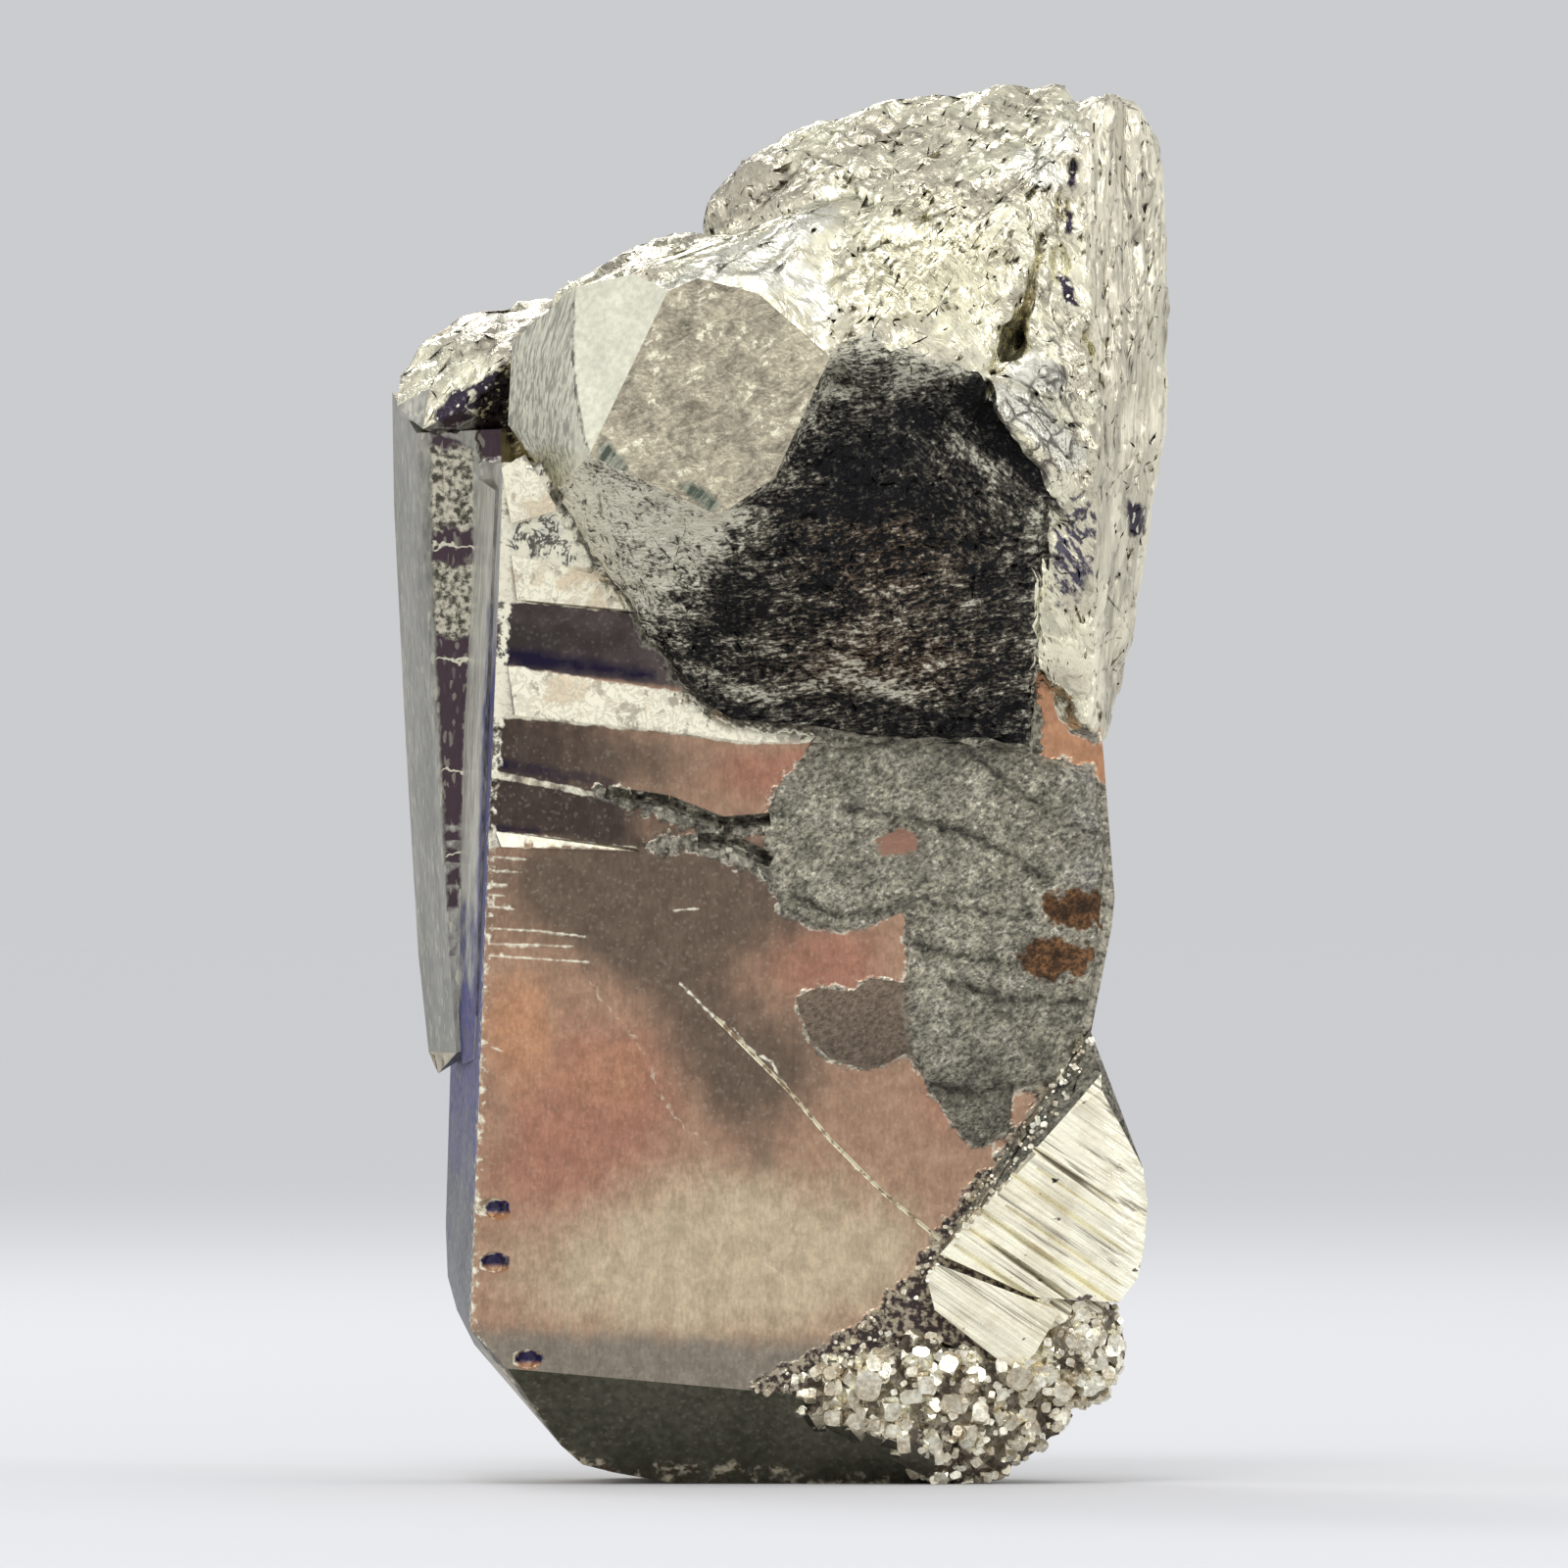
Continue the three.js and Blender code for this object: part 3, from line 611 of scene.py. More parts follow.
@dataclass
class SkinMesher:
    """Fills each flat face of the solid with an even mesh that shares its edges."""

    solid: SolidFacets
    traces: dict[Zone, Array] = field(default_factory=dict)
    seed: int = 3
    points: list[Array] = field(default_factory=list)
    faces: list[tuple[int, int, int]] = field(default_factory=list)
    facet_of_face: list[int] = field(default_factory=list)

    def build(self) -> None:
        """Meshes every facet."""
        self.points = [p for p in self.solid.points]
        rng = np.random.default_rng(self.seed)
        lines = self._edge_lines()
        for number, facet in enumerate(self.solid.facets):
            self._fill(number, facet, lines[number], rng)

    def _edge_lines(self) -> dict[int, list[list[int]]]:
        """Divides each edge between two facets once, for both.

        Returns:
            For each facet, the point chains along its edges.
        """
        solid = self.solid
        sides: dict[tuple[int, int], list[int]] = {}
        for i, tri in enumerate(solid.triangles):
            for k in range(3):
                a, b = int(tri[k]), int(tri[(k + 1) % 3])
                sides.setdefault((min(a, b), max(a, b)), []).append(int(solid.facet_of[i]))
        lines: dict[int, list[list[int]]] = {i: [] for i in range(len(solid.facets))}
        for (a, b), owners in sides.items():
            if len(owners) == 2 and owners[0] == owners[1]:
                continue
            spacing = min(solid.facets[o].spacing for o in owners)
            start, end = solid.points[a], solid.points[b]
            count = max(1, int(round(np.linalg.norm(end - start) / spacing)))
            chain = [a]
            for step in range(1, count):
                chain.append(len(self.points))
                self.points.append(start + (end - start) * step / count)
            chain.append(b)
            for o in set(owners):
                lines[o].append(chain)
        return lines

    def _fill(
        self, number: int, facet: Facet, lines: list[list[int]], rng: np.random.Generator
    ) -> None:
        """Meshes one facet.

        Args:
            number: The facet's place in the list.
            facet: The facet.
            lines: The point chains along its edges.
            rng: The source of the inner points' jitter.
        """
        n = facet.normal
        u = np.cross(n, [0.0, 0.0, 1.0] if abs(n[2]) < 0.9 else [1.0, 0.0, 0.0])
        u /= np.linalg.norm(u)
        v = np.cross(n, u)
        ids = sorted({i for chain in lines for i in chain})
        place = {g: k for k, g in enumerate(ids)}
        world = np.array([self.points[i] for i in ids])
        flat = np.column_stack([world @ u, world @ v])
        pairs = [(place[a], place[b]) for chain in lines for a, b in zip(chain, chain[1:])]
        outline = (flat[[a for a, _ in pairs]], flat[[b for _, b in pairs]])
        level = float(world.mean(axis=0) @ n)
        inner = self._inner(outline, facet, rng)
        traced = self._traced(outline, facet, u, v)
        if len(traced) and len(inner):
            gaps = np.array([np.linalg.norm(traced - p, axis=1).min() for p in inner])
            inner = inner[gaps > TRACE_STEP * 0.75]
        if len(traced):
            inner = np.vstack([traced, inner]) if len(inner) else traced
        every = np.vstack([flat, inner]) if len(inner) else flat
        made = delaunay_2d_cdt([Vector(p) for p in every], pairs, [], 0, 1e-7)
        out_points, _, out_faces, origins = made[0], made[1], made[2], made[3]
        first = len(self.points)
        for p in inner:
            self.points.append(u * p[0] + v * p[1] + n * level)
        names = []
        for point, origin in zip(out_points, origins):
            if origin:
                k = min(origin)
                names.append(ids[k] if k < len(ids) else first + k - len(ids))
            else:
                names.append(len(self.points))
                self.points.append(u * point[0] + v * point[1] + n * level)
        if not out_faces:
            return
        tris = np.array([f[:3] for f in out_faces])
        at = np.array([p[:] for p in out_points])[tris]
        keep = np.ones(len(tris), bool)
        if len(facet.triangles) > 1:
            keep = enclosed(at.mean(axis=1), *outline)
        side = (at[:, 1, 0] - at[:, 0, 0]) * (at[:, 2, 1] - at[:, 0, 1])
        side -= (at[:, 2, 0] - at[:, 0, 0]) * (at[:, 1, 1] - at[:, 0, 1])
        keep &= np.abs(side) > 1e-7
        for tri, good, turn in zip(tris, keep, side):
            if good:
                a, b, c = (names[k] for k in tri)
                self.faces.append((a, b, c) if turn > 0 else (a, c, b))
                self.facet_of_face.append(number)

    def _inner(
        self, outline: tuple[Array, Array], facet: Facet, rng: np.random.Generator
    ) -> Array:
        """Scatters even points inside a facet's outline.

        Args:
            outline: Where the outline's segments start and end in the facet's plane.
            facet: The facet.
            rng: The source of the jitter.

        Returns:
            The inner points in the facet's plane.
        """
        step = facet.spacing
        if facet.area < step * step * 0.5:
            return np.zeros((0, 2))
        low, high = np.min(outline, axis=(0, 1)), np.max(outline, axis=(0, 1))
        rows = np.arange(low[1] + step * 0.3, high[1], step * 0.866)
        grid = []
        for k, y in enumerate(rows):
            xs = np.arange(low[0] + step * (0.25 + 0.5 * (k % 2)), high[0], step)
            grid.append(np.column_stack([xs, np.full(len(xs), y)]))
        if not grid:
            return np.zeros((0, 2))
        spots = np.vstack(grid)
        spots += rng.uniform(-0.16, 0.16, spots.shape) * step
        spots = spots[enclosed(spots, *outline)]
        for a, b in zip(*outline):
            if len(spots) == 0:
                break
            near = np.abs(spots - (a + b) / 2).max(axis=1)
            close = near < np.linalg.norm(b - a) / 2 + step
            if close.any():
                gap = segment_distance(spots[close], (a, b))
                drop = np.zeros(len(spots), bool)
                drop[np.flatnonzero(close)[gap < step * 0.5]] = True
                spots = spots[~drop]
        return spots

    def _traced(self, outline: tuple[Array, Array], facet: Facet, u: Array, v: Array) -> Array:
        """Points along the markings that cross a facet, so that the markings stay sharp.

        Args:
            outline: Where the outline's segments start and end in the facet's plane.
            facet: The facet.
            u: The plane's first direction.
            v: The plane's second direction.

        Returns:
            The points in the facet's plane.
        """
        if facet.zone not in self.traces or facet.area < 0.3 or facet.normal[1] > -0.5:
            return np.zeros((0, 2))
        n = facet.normal
        at = self.traces[facet.zone]
        depth = (n @ facet.middle - at[:, 0] * n[0] - at[:, 1] * n[2]) / n[1]
        world = np.column_stack([at[:, 0], depth, at[:, 1]])
        spots = np.column_stack([world @ u, world @ v])
        low, high = np.min(outline, axis=(0, 1)), np.max(outline, axis=(0, 1))
        spots = spots[((spots > low) & (spots < high)).all(axis=1)]
        if len(spots):
            spots = spots[enclosed(spots, *outline)]
        for a, b in zip(*outline):
            if len(spots):
                gap = segment_distance(spots, (a, b))
                spots = spots[gap > TRACE_STEP * 0.7]
        return spots


@dataclass
class Relief:
    """Softens the rough zones of the surface and gives them their fine relief."""

    creases: tuple[Outline, ...]
    rounds: int = 9
    crumple: float = 0.1
    seed: int = 5
    points: Array = field(init=False)
    faces: Array = field(init=False)
    zones: Array = field(init=False)

    def load(self, mesher: SkinMesher) -> None:
        """Takes over the mesher's points and faces, without unused points.

        Args:
            mesher: The finished mesher.
        """
        faces = np.array(mesher.faces)
        used, back = np.unique(faces, return_inverse=True)
        self.points = np.array(mesher.points)[used]
        self.faces = back.reshape(-1, 3)
        facets = mesher.solid.facets
        self.zones = np.array([facets[i].zone.value for i in mesher.facet_of_face])

    def _weights(self) -> tuple[Array, Array]:
        """How freely each point moves, and its main rough zone.

        Returns:
            A weight from 0 on flat faces to 1 inside rough ones, and a zone number.
        """
        rough = np.isin(self.zones, [z.value for z in ROUGH_ZONES])
        weight = np.ones(len(self.points))
        weight[np.unique(self.faces[~rough])] = 0
        zone = np.full(len(self.points), -1)
        for value in sorted({z.value for z in ROUGH_ZONES}):
            zone[np.unique(self.faces[self.zones == value])] = value
        return weight, zone

    def _edges(self) -> Array:
        """Every edge of the mesh once."""
        pairs = np.vstack([self.faces[:, [0, 1]], self.faces[:, [1, 2]], self.faces[:, [2, 0]]])
        return np.unique(np.sort(pairs, axis=1), axis=0)

    def _average(self, values: Array, edges: Array) -> Array:
        """Each point's mean over its neighbours.

        Args:
            values: One value or vector for each point.
            edges: The mesh's edges.

        Returns:
            The means.
        """
        count = np.bincount(edges.ravel(), minlength=len(values)).astype(float)
        flat = values.reshape(len(values), -1)
        total = np.zeros_like(flat)
        for k in range(flat.shape[1]):
            total[:, k] = np.bincount(
                edges[:, 0], weights=flat[edges[:, 1], k], minlength=len(values)
            ) + np.bincount(edges[:, 1], weights=flat[edges[:, 0], k], minlength=len(values))
        return (total / np.maximum(count, 1)[:, None]).reshape(values.shape)

    def normals(self) -> Array:
        """Each point's normal, averaged over its faces."""
        a, b, c = (self.points[self.faces[:, k]] for k in range(3))
        cross = np.cross(b - a, c - a)
        out = np.zeros_like(self.points)
        for k in range(3):
            for axis in range(3):
                out[:, axis] += np.bincount(
                    self.faces[:, k], weights=cross[:, axis], minlength=len(out)
                )
        return out / np.maximum(np.linalg.norm(out, axis=1), 1e-12)[:, None]

    def shape(self) -> None:
        """Softens the rough zones, then raises their relief along the normals."""
        weight, zone = self._weights()
        edges = self._edges()
        for _ in range(self.rounds):
            mean = self._average(self.points, edges)
            self.points += 0.55 * weight[:, None] * (mean - self.points)
        fade = weight.copy()
        for _ in range(2):
            fade = np.minimum(fade, self._average(fade, edges))
        noise.seed_set(self.seed)
        normals = self.normals()
        heights = np.zeros(len(self.points))
        for i in np.flatnonzero(weight > 0):
            heights[i] = self._height(Vector(self.points[i]), int(zone[i]))
        heights -= self._crease_depth(zone)
        self.points += normals * (heights * (0.25 + 0.75 * fade) * (weight > 0))[:, None]
        low = self.points[:, 2] < 0
        self.points[low, 2] = 0

    def _crease_depth(self, zone: Array) -> Array:
        """How deep the crust's creases are at each point, below zero on their rims.

        Args:
            zone: Each point's zone number.

        Returns:
            The depths, in mm.
        """
        at = wander(self.points[:, [0, 2]])
        gap = np.min([segment_distance(at, line) for line in self.creases], axis=0)
        depth = 0.26 * np.exp(-((gap / 0.2) ** 2)) - 0.12 * np.exp(-(((gap - 0.5) / 0.3) ** 2))
        return np.where(zone == Zone.CRUST.value, depth, 0)

    def zone_gap(self, zone: Zone, most: float = 3.0) -> Array:
        """Distance on the front from each point to a zone.

        Args:
            zone: The zone.
            most: The largest distance that matters, in mm.

        Returns:
            One distance for each point.
        """
        ours = np.unique(self.faces[self.zones == zone.value])
        tree = KDTree(len(ours))
        for k in ours:
            tree.insert((self.points[k, 0], 0.0, self.points[k, 2]), int(k))
        tree.balance()
        return np.array([min(tree.find((x, 0.0, z))[2], most) for x, _, z in self.points])

    def _facets(self, p: Vector, size: float, tilt: float) -> float:
        """Height of a surface broken into small flat facets.

        Args:
            p: A point, in mm.
            size: The facets' size.
            tilt: How steeply they lean.

        Returns:
            The height at p, in mm.
        """
        gaps, middles = noise.voronoi(p / size)
        lean = noise.cell_vector(middles[0] * 31.7) * 2 - Vector((1, 1, 1))
        return tilt * size * lean.dot(p / size - middles[0])

    def _height(self, p: Vector, zone: int) -> float:
        """The relief's height at a point of a rough zone.

        Args:
            p: The point, in mm.
            zone: Its zone's number.

        Returns:
            The height, in mm.
        """
        bend = noise.noise_vector(p * 0.45) * 0.7
        if zone == Zone.BROKEN.value:
            q = p + bend
            return (
                self._facets(q, 2.8, self.crumple)
                + self._facets(q, 1.2, self.crumple * 1.1)
                + 0.03 * noise.noise(p * 2.2)
            )
        if zone == Zone.DARK.value:
            q = Vector((p.x * 0.8 + p.z * 0.35, p.y, p.z * 1.2 - p.x * 0.3))
            return (
                0.16 * noise.noise(q * 0.9)
                + 0.11 * noise.noise(q * 2.1)
                + self._facets(q + bend, 0.75, 0.22)
            )
        if zone == Zone.RIDGE.value:
            q = Vector((p.x, p.y, p.z * 0.16)) + bend * 0.25
            return self._facets(q, 0.9, 0.3) + 0.12 * noise.noise(q * 1.9)
        if zone == Zone.DRUSE.value:
            return self._facets(p, 0.8, 0.45) + 0.08 * noise.noise(p * 2.0)
        if zone == Zone.CRUST.value:
            q = p + bend
            return 0.09 * noise.noise(q * 2.6) + 0.17 * noise.noise(q * 0.9)
        return self._facets(p + bend, 2.2, 0.16) + 0.1 * noise.noise(p * 0.9)


@dataclass
class Markings:
    """Weights and distances that the finishes read from the surface."""

    front: FrontMap
    relief: Relief

    def __post_init__(self) -> None:
        """Keeps every point's place on the front."""
        self.at = self.relief.points[:, [0, 2]]
        self.x, self.z = self.at.T

    def fields(self) -> dict[str, Array]:
        """Every marking's value at every point.

        Returns:
            The values by name: distances in mm, or weights.
        """
        x, z, depth = self.x, self.z, self.relief.points[:, 1]
        crust = self.relief.zone_gap(Zone.CRUST)
        crust -= 3 * fade(13.6 - x, 0.2) * fade(z - 35.3, 0.2)
        crust -= 2 * fade(37.2 - z, 0.15) * fade(1.6 - x, 0.3) * (x < 13)
        made = {
            **self._edges(), **self._tones(), **self._lights(), **self._foil(),
            "near_crust": crust, "near_dark": self.relief.zone_gap(Zone.DARK),
            "sunk": depth - FACE_TURN * (x - FACE_EDGE_X),
        }
        made["recess"] += 9.0 * ((x > 15) & (depth > 5))
        return made

    def _nearest(self, at: Array, lines: tuple[Outline, ...]) -> Array:
        """Distance to the nearest of several polylines."""
        return np.min([segment_distance(at, line) for line in lines], axis=0)

    def _blobs(self, *blobs: tuple[float, ...]) -> Array:
        """Adds up soft round patches: each a weight, a middle and two half widths."""
        x, z = self.x, self.z
        return sum(
            weight * np.exp(-(((x - mid_x) / wide) ** 2) - ((z - mid_z) / tall) ** 2)
            for weight, mid_x, mid_z, wide, tall in blobs
        )

    def _stripe(self, wide: float, line: Outline) -> Array:
        """A soft stripe along a polyline, 1 on it and fading to 0."""
        return np.exp(-((segment_distance(self.at, line) / wide) ** 2))

    def _edges(self) -> dict[str, Array]:
        """Distances to bands, cracks and other markings with clear edges, in mm."""
        front, at = self.front, self.at
        winding = wander(at)
        pit = np.array([np.hypot(self.x - x, (self.z - z) * 1.5) for x, z in front.pits])
        centres = np.array([z for _, z in front.pits])
        areas = {
            "dark_band": front.dark_bands, "blue_band": front.blue_bands,
            "bright_band": front.bright_bands, "beyond": [front.beyond_seam],
            "groove": [front.groove], "recess": front.recesses, "rust": front.rust,
            "bare": [front.bare_in_crust], "brown_film": [front.brown_film],
            "notch": front.notches, "violet": [front.violet],
        }
        lines = {
            "bright_crack": [front.bright_crack], "tick": front.ticks, "fold": front.folds,
            "left_edge": [front.left_edge], "foot_edge": [front.foot_edge],
            "face_crack": [front.face_crack],
        }
        winding_lines = {
            "faint_crack": front.faint_cracks, "fissure": front.fissure,
            "crease": front.creases,
        }
        return {
            **{name: signed_distance(at, outlines) for name, outlines in areas.items()},
            **{name: self._nearest(at, lies) for name, lies in lines.items()},
            **{name: self._nearest(winding, lies) for name, lies in winding_lines.items()},
            "pit": pit.min(axis=0) - 0.75,
            "pit_height": self.z - centres[pit.argmin(axis=0)],
        }

    def _tones(self) -> dict[str, Array]:
        """Weights of the broad face's soft tones; pink, beige, glow and the grey stripe in dusk are
        painted reflections and highlights.

        Returns:
            The weights by name.
        """
        x, z = self.x, self.z
        # A painted reflection: the grey stripe across the face.
        reflected_streak = self._stripe(3, [(-8.5, 30), (-5, 25), (-2.4, 20.5)])
        line = 36.3 - 0.2 * (x + 14.5)
        under = fade(z - line, 0.06) * fade(x + 6.5, 1.1)
        under *= fade(33.4 - 0.13 * (x + 14.5) - z, 0.06)
        under += 0.8 * fade(line - z, 0.06) * fade(x + 9.5, 1.3) * (z < 39.6)
        tones = {
            "pink": self._blobs(
                (1, -9.5, 20, 5, 4.6), (0.5, -12.5, 15.5, 4, 3), (1, 2.2, 26.8, 3.6, 2.6),
                (1.1, -0.5, 36.4, 3.4, 1.5), (1.3, 14.4, 38.8, 2.4, 3), (0.5, 8.5, 19.5, 2.5, 2.5),
            ),
            "beige": self._blobs(
                (1.15, -3.4, 10.9, 7.6, 4), (0.3, -12, 10.5, 4.5, 3.4), (0.45, 4.5, 12, 4, 3.4),
                (0.35, -2, 14.8, 5, 2.4),
            ),
            "dusk": 0.75 * reflected_streak + self._blobs(
                (1, -8, 30.6, 8.5, 3.4), (1, -12, 37.2, 8, 2.4), (0.7, -1.5, 30, 4, 2.6),
                (0.55, 0.5, 22, 4, 3.2), (0.35, -1, 16.6, 1.8, 1.6),
            ),
            # Painted highlights: the glow patches.
            "glow": self._blobs(
                (1, -13.6, 23.4, 1.9, 3.2), (0.5, -9, 21.2, 2.4, 2.8), (2, 14.4, 38.8, 3, 3.6)
            ),
            "under": under,
            "foot_grey": fade(z - 7.35 + 0.045 * x, 0.33),
        }
        return {name: np.clip(value, 0, 1.2) for name, value in tones.items()}

    def _lights(self) -> dict[str, Array]:
        """How light the dark slope is, with painted shade under the head's overhang, how brown,
        which way its fibres run, and where the shadow along its lower edge is painted.

        Returns:
            The values by name.
        """
        # Negative weights paint shade under the head's overhang.
        stripes = (
            (0.5, 1.3, [(7, 56.6), (9.2, 53.6), (12.8, 49)]),
            (0.55, 1.3, [(3, 57.8), (-0.2, 51.9), (-4.2, 48.6)]),
            (1.1, 0.9, [(3.2, 59.4), (6.2, 58.5), (9.2, 57.3)]),
            (0.45, 0.45, [(12.9, 50.5), (12.95, 38)]),
            (0.5, 0.7, [(-4.4, 41.6), (-1.2, 40.2), (2.6, 41.2), (8, 39.9)]),
            (-0.7, 0.9, [(10.2, 56.2), (11, 53.6), (13, 51.2)]),
        )
        light = sum(weight * self._stripe(wide, line) for weight, wide, line in stripes)
        light += self._blobs(
            (0.6, 5.2, 56.6, 4.6, 2.6), (0.5, 4, 42.3, 7, 2.6), (0.2, 9, 46, 3, 3),
            (-0.7, 8.2, 54.9, 2.2, 1.5), (-0.5, 3.6, 52, 2.4, 2.2), (-0.25, -3, 45, 2.4, 1.8),
        )
        grey = [(-14, 55), (-3.2, 50.2), (-2.4, 48.9), (-5, 46.4), (-6.6, 44.2), (-14, 46)]
        light += 1.5 * fade(signed_distance(self.at, [grey]) - 0.3, 0.9)
        # Where a shadow is painted along the slope's lower edge.
        lip = [
            (-5.6, 41.2), (-4.45, 40.65), (-1.4, 39.25), (1, 39.2), (2.5, 40.2), (4.95, 40.2),
            (7.95, 38.9), (10.7, 37.8), (12.6, 37.4),
        ]
        return {
            "slope_light": light,
            "slope_brown": self._blobs((1, 5, 47.5, 5, 3.2), (1, 5, 42, 6, 2)),
            "slope_flow": self._blobs((1, 10, 52, 4, 5)),
            "lip": segment_distance(self.at, lip),
        }

    def _foil(self) -> dict[str, Array]:
        """Weights of the bright broken surfaces' patches; white marks the crests' painted
        highlights.

        Returns:
            The weights by name.
        """
        dull = self._blobs(
            (1, -2, 66.5, 4.2, 2.4), (0.8, 16.6, 66.2, 1.5, 1.4), (0.9, -13.5, 58.8, 4.5, 2.2),
            (0.4, -1, 61.5, 3, 1.5),
        )
        veined = 0.25 + self._blobs(
            (1.1, 12.8, 54, 2.4, 3.4), (0.35, 9, 63, 5, 4), (0.6, -4, 61.5, 4, 1.6),
            (0.5, 13.5, 60, 1.2, 8),
        )
        return {
            "white": np.max([self._stripe(0.95, line) for line in self.front.white_crests], axis=0),
            "dull": np.clip(dull, 0, 1),
            "straw": np.clip(self._blobs((1, 7.5, 62, 5, 4), (0.8, 13, 53.5, 1.8, 1.8)), 0, 1),
            "veined": np.clip(veined, 0, 1),
        }


# Shader building blocks


class Wires:
    """Shorthand for adding and linking shader nodes in one tree."""

    def __init__(self, tree: NodeTree) -> None:
        """Keeps the tree that the nodes go into."""
        self.tree = tree

    def add(self, kind: str, **settings: object) -> Node:
        """Adds a node and sets its properties.

        Args:
            kind: The node's type, without its ShaderNode prefix.
            **settings: Property values by name.

        Returns:
            The new node.
        """
        node = self.tree.nodes.new("ShaderNode" + kind)
        for name, value in settings.items():
            setattr(node, name, value)
        return node

    def feed(self, socket: NodeSocket, value: object) -> None:
        """Links a socket to another, or sets its own value."""
        if isinstance(value, NodeSocket):
            self.tree.links.new(value, socket)
        elif isinstance(value, tuple) and len(value) == 3 and socket.type == "RGBA":
            socket.default_value = (*value, 1.0)
        else:
            socket.default_value = value

    def math(self, operation: str, a: object, b: object = 0.0, clamp: bool = False) -> NodeSocket:
        """Adds a Math node and returns its output."""
        node = self.add("Math", operation=operation, use_clamp=clamp)
        self.feed(node.inputs[0], a)
        self.feed(node.inputs[1], b)
        return node.outputs[0]

    def vector(self, operation: str, a: object, b: object) -> NodeSocket:
        """Adds a Vector Math node and returns its output."""
        node = self.add("VectorMath", operation=operation)
        self.feed(node.inputs[0], a)
        self.feed(node.inputs[1], b)
        return node.outputs["Value" if operation == "DOT_PRODUCT" else "Vector"]

    def times(self, a: object, b: object) -> NodeSocket:
        """Multiplies two numbers."""
        return self.math("MULTIPLY", a, b)

    def most(self, a: object, b: object) -> NodeSocket:
        """The larger of two numbers."""
        return self.math("MAXIMUM", a, b)

    def axes(self, place: object) -> list[NodeSocket]:
        """Splits a place into its x, y and z."""
        node = self.add("SeparateXYZ")
        self.feed(node.inputs[0], place)
        return list(node.outputs)

    def total(self, *terms: tuple[object, float]) -> NodeSocket:
        """Adds up values, each times its own weight."""
        parts = [self.times(value, weight) for value, weight in terms]
        out = parts[0]
        for part in parts[1:]:
            out = self.math("ADD", out, part)
        return out

    def span(
        self, value: object, low: float, high: float, start: float = 0.0, end: float = 1.0
    ) -> NodeSocket:
        """Maps a value from low..high to start..end, smoothly and clamped."""
        node = self.add("MapRange", interpolation_type="SMOOTHSTEP", clamp=True)
        for socket, v in zip(node.inputs, (value, low, high, start, end)):
            self.feed(socket, v)
        return node.outputs[0]

    def mix(self, share: object, a: object, b: object) -> NodeSocket:
        """Mixes two colours and returns the result."""
        node = self.add("Mix", data_type="RGBA")
        for index, value in ((0, share), (6, a), (7, b)):
            self.feed(node.inputs[index], value)
        return node.outputs[2]

    def dim(self, colour: object, factor: object) -> NodeSocket:
        """Multiplies a colour by a number."""
        node = self.add("VectorMath", operation="SCALE")
        self.feed(node.inputs[0], colour)
        self.feed(node.inputs["Scale"], factor)
        return node.outputs[0]

    def attribute(self, name: str) -> NodeSocket:
        """Reads one marking of the surface."""
        return self.add("Attribute", attribute_name=name).outputs["Fac"]

    def place(self, stretch: Triple = (1, 1, 1), tilt: float = 0.0) -> NodeSocket:
        """The point's place in mm, tilted in the front's plane and stretched.

        Args:
            stretch: A factor along each axis.
            tilt: Degrees turned about y before the stretch.

        Returns:
            The vector socket.
        """
        where = self.add("TexCoord").outputs["Object"]
        return self.stretch(where, tuple(s / MM for s in stretch), tilt)

    def stretch(self, place: object, factors: Triple, tilt: float = 0.0) -> NodeSocket:
        """Turns a place about y, then stretches it."""
        turn = self.add("Mapping", vector_type="POINT")
        self.feed(turn.inputs["Vector"], place)
        turn.inputs["Rotation"].default_value = (0.0, math.radians(tilt), 0.0)
        mapping = self.add("Mapping", vector_type="POINT")
        self.feed(mapping.inputs["Vector"], turn.outputs[0])
        mapping.inputs["Scale"].default_value = factors
        return mapping.outputs[0]

    def noise(
        self, place: object, size: object, detail: float = 3.0, rough: float = 0.55,
        twist: float = 0.0, kind: str = "FBM",
    ) -> NodeSocket:
        """Noise around 0.5 with features of a size in mm.

        Args:
            place: The place socket.
            size: The features' size.
            detail: How many finer layers it has.
            rough: How strong they are.
            twist: How far it is distorted.
            kind: The noise's kind.

        Returns:
            The noise value's socket.
        """
        node = self.add("TexNoise", noise_dimensions="3D", noise_type=kind)
        self.feed(node.inputs["Vector"], place)
        scale = 1.0 / size if isinstance(size, float) else self.math("DIVIDE", 1.0, size)
        self.feed(node.inputs["Scale"], scale)
        node.inputs["Detail"].default_value = detail
        node.inputs["Roughness"].default_value = rough
        node.inputs["Distortion"].default_value = twist
        return node.outputs[0]

    def warp(self, place: object, size: float, reach: float) -> NodeSocket:
        """Moves a place by soft noise, so that lines drawn there bend.

        Args:
            place: The place socket.
            size: The size of the bends, in mm.
            reach: How far they go, in mm.

        Returns:
            The moved place.
        """
        swirl = self.add("TexNoise", noise_dimensions="3D")
        self.feed(swirl.inputs["Vector"], place)
        swirl.inputs["Scale"].default_value = 1.0 / size
        return self.vector("ADD", place, self.dim(swirl.outputs["Color"], 2.0 * reach))

    def group(self, tree: NodeTree, **values: object) -> dict[str, object]:
        """Places a node group, sets its inputs by name and returns its outputs."""
        node = self.add("Group", node_tree=tree)
        for name, value in values.items():
            self.feed(node.inputs[name], value)
        return {socket.name: socket for socket in node.outputs}


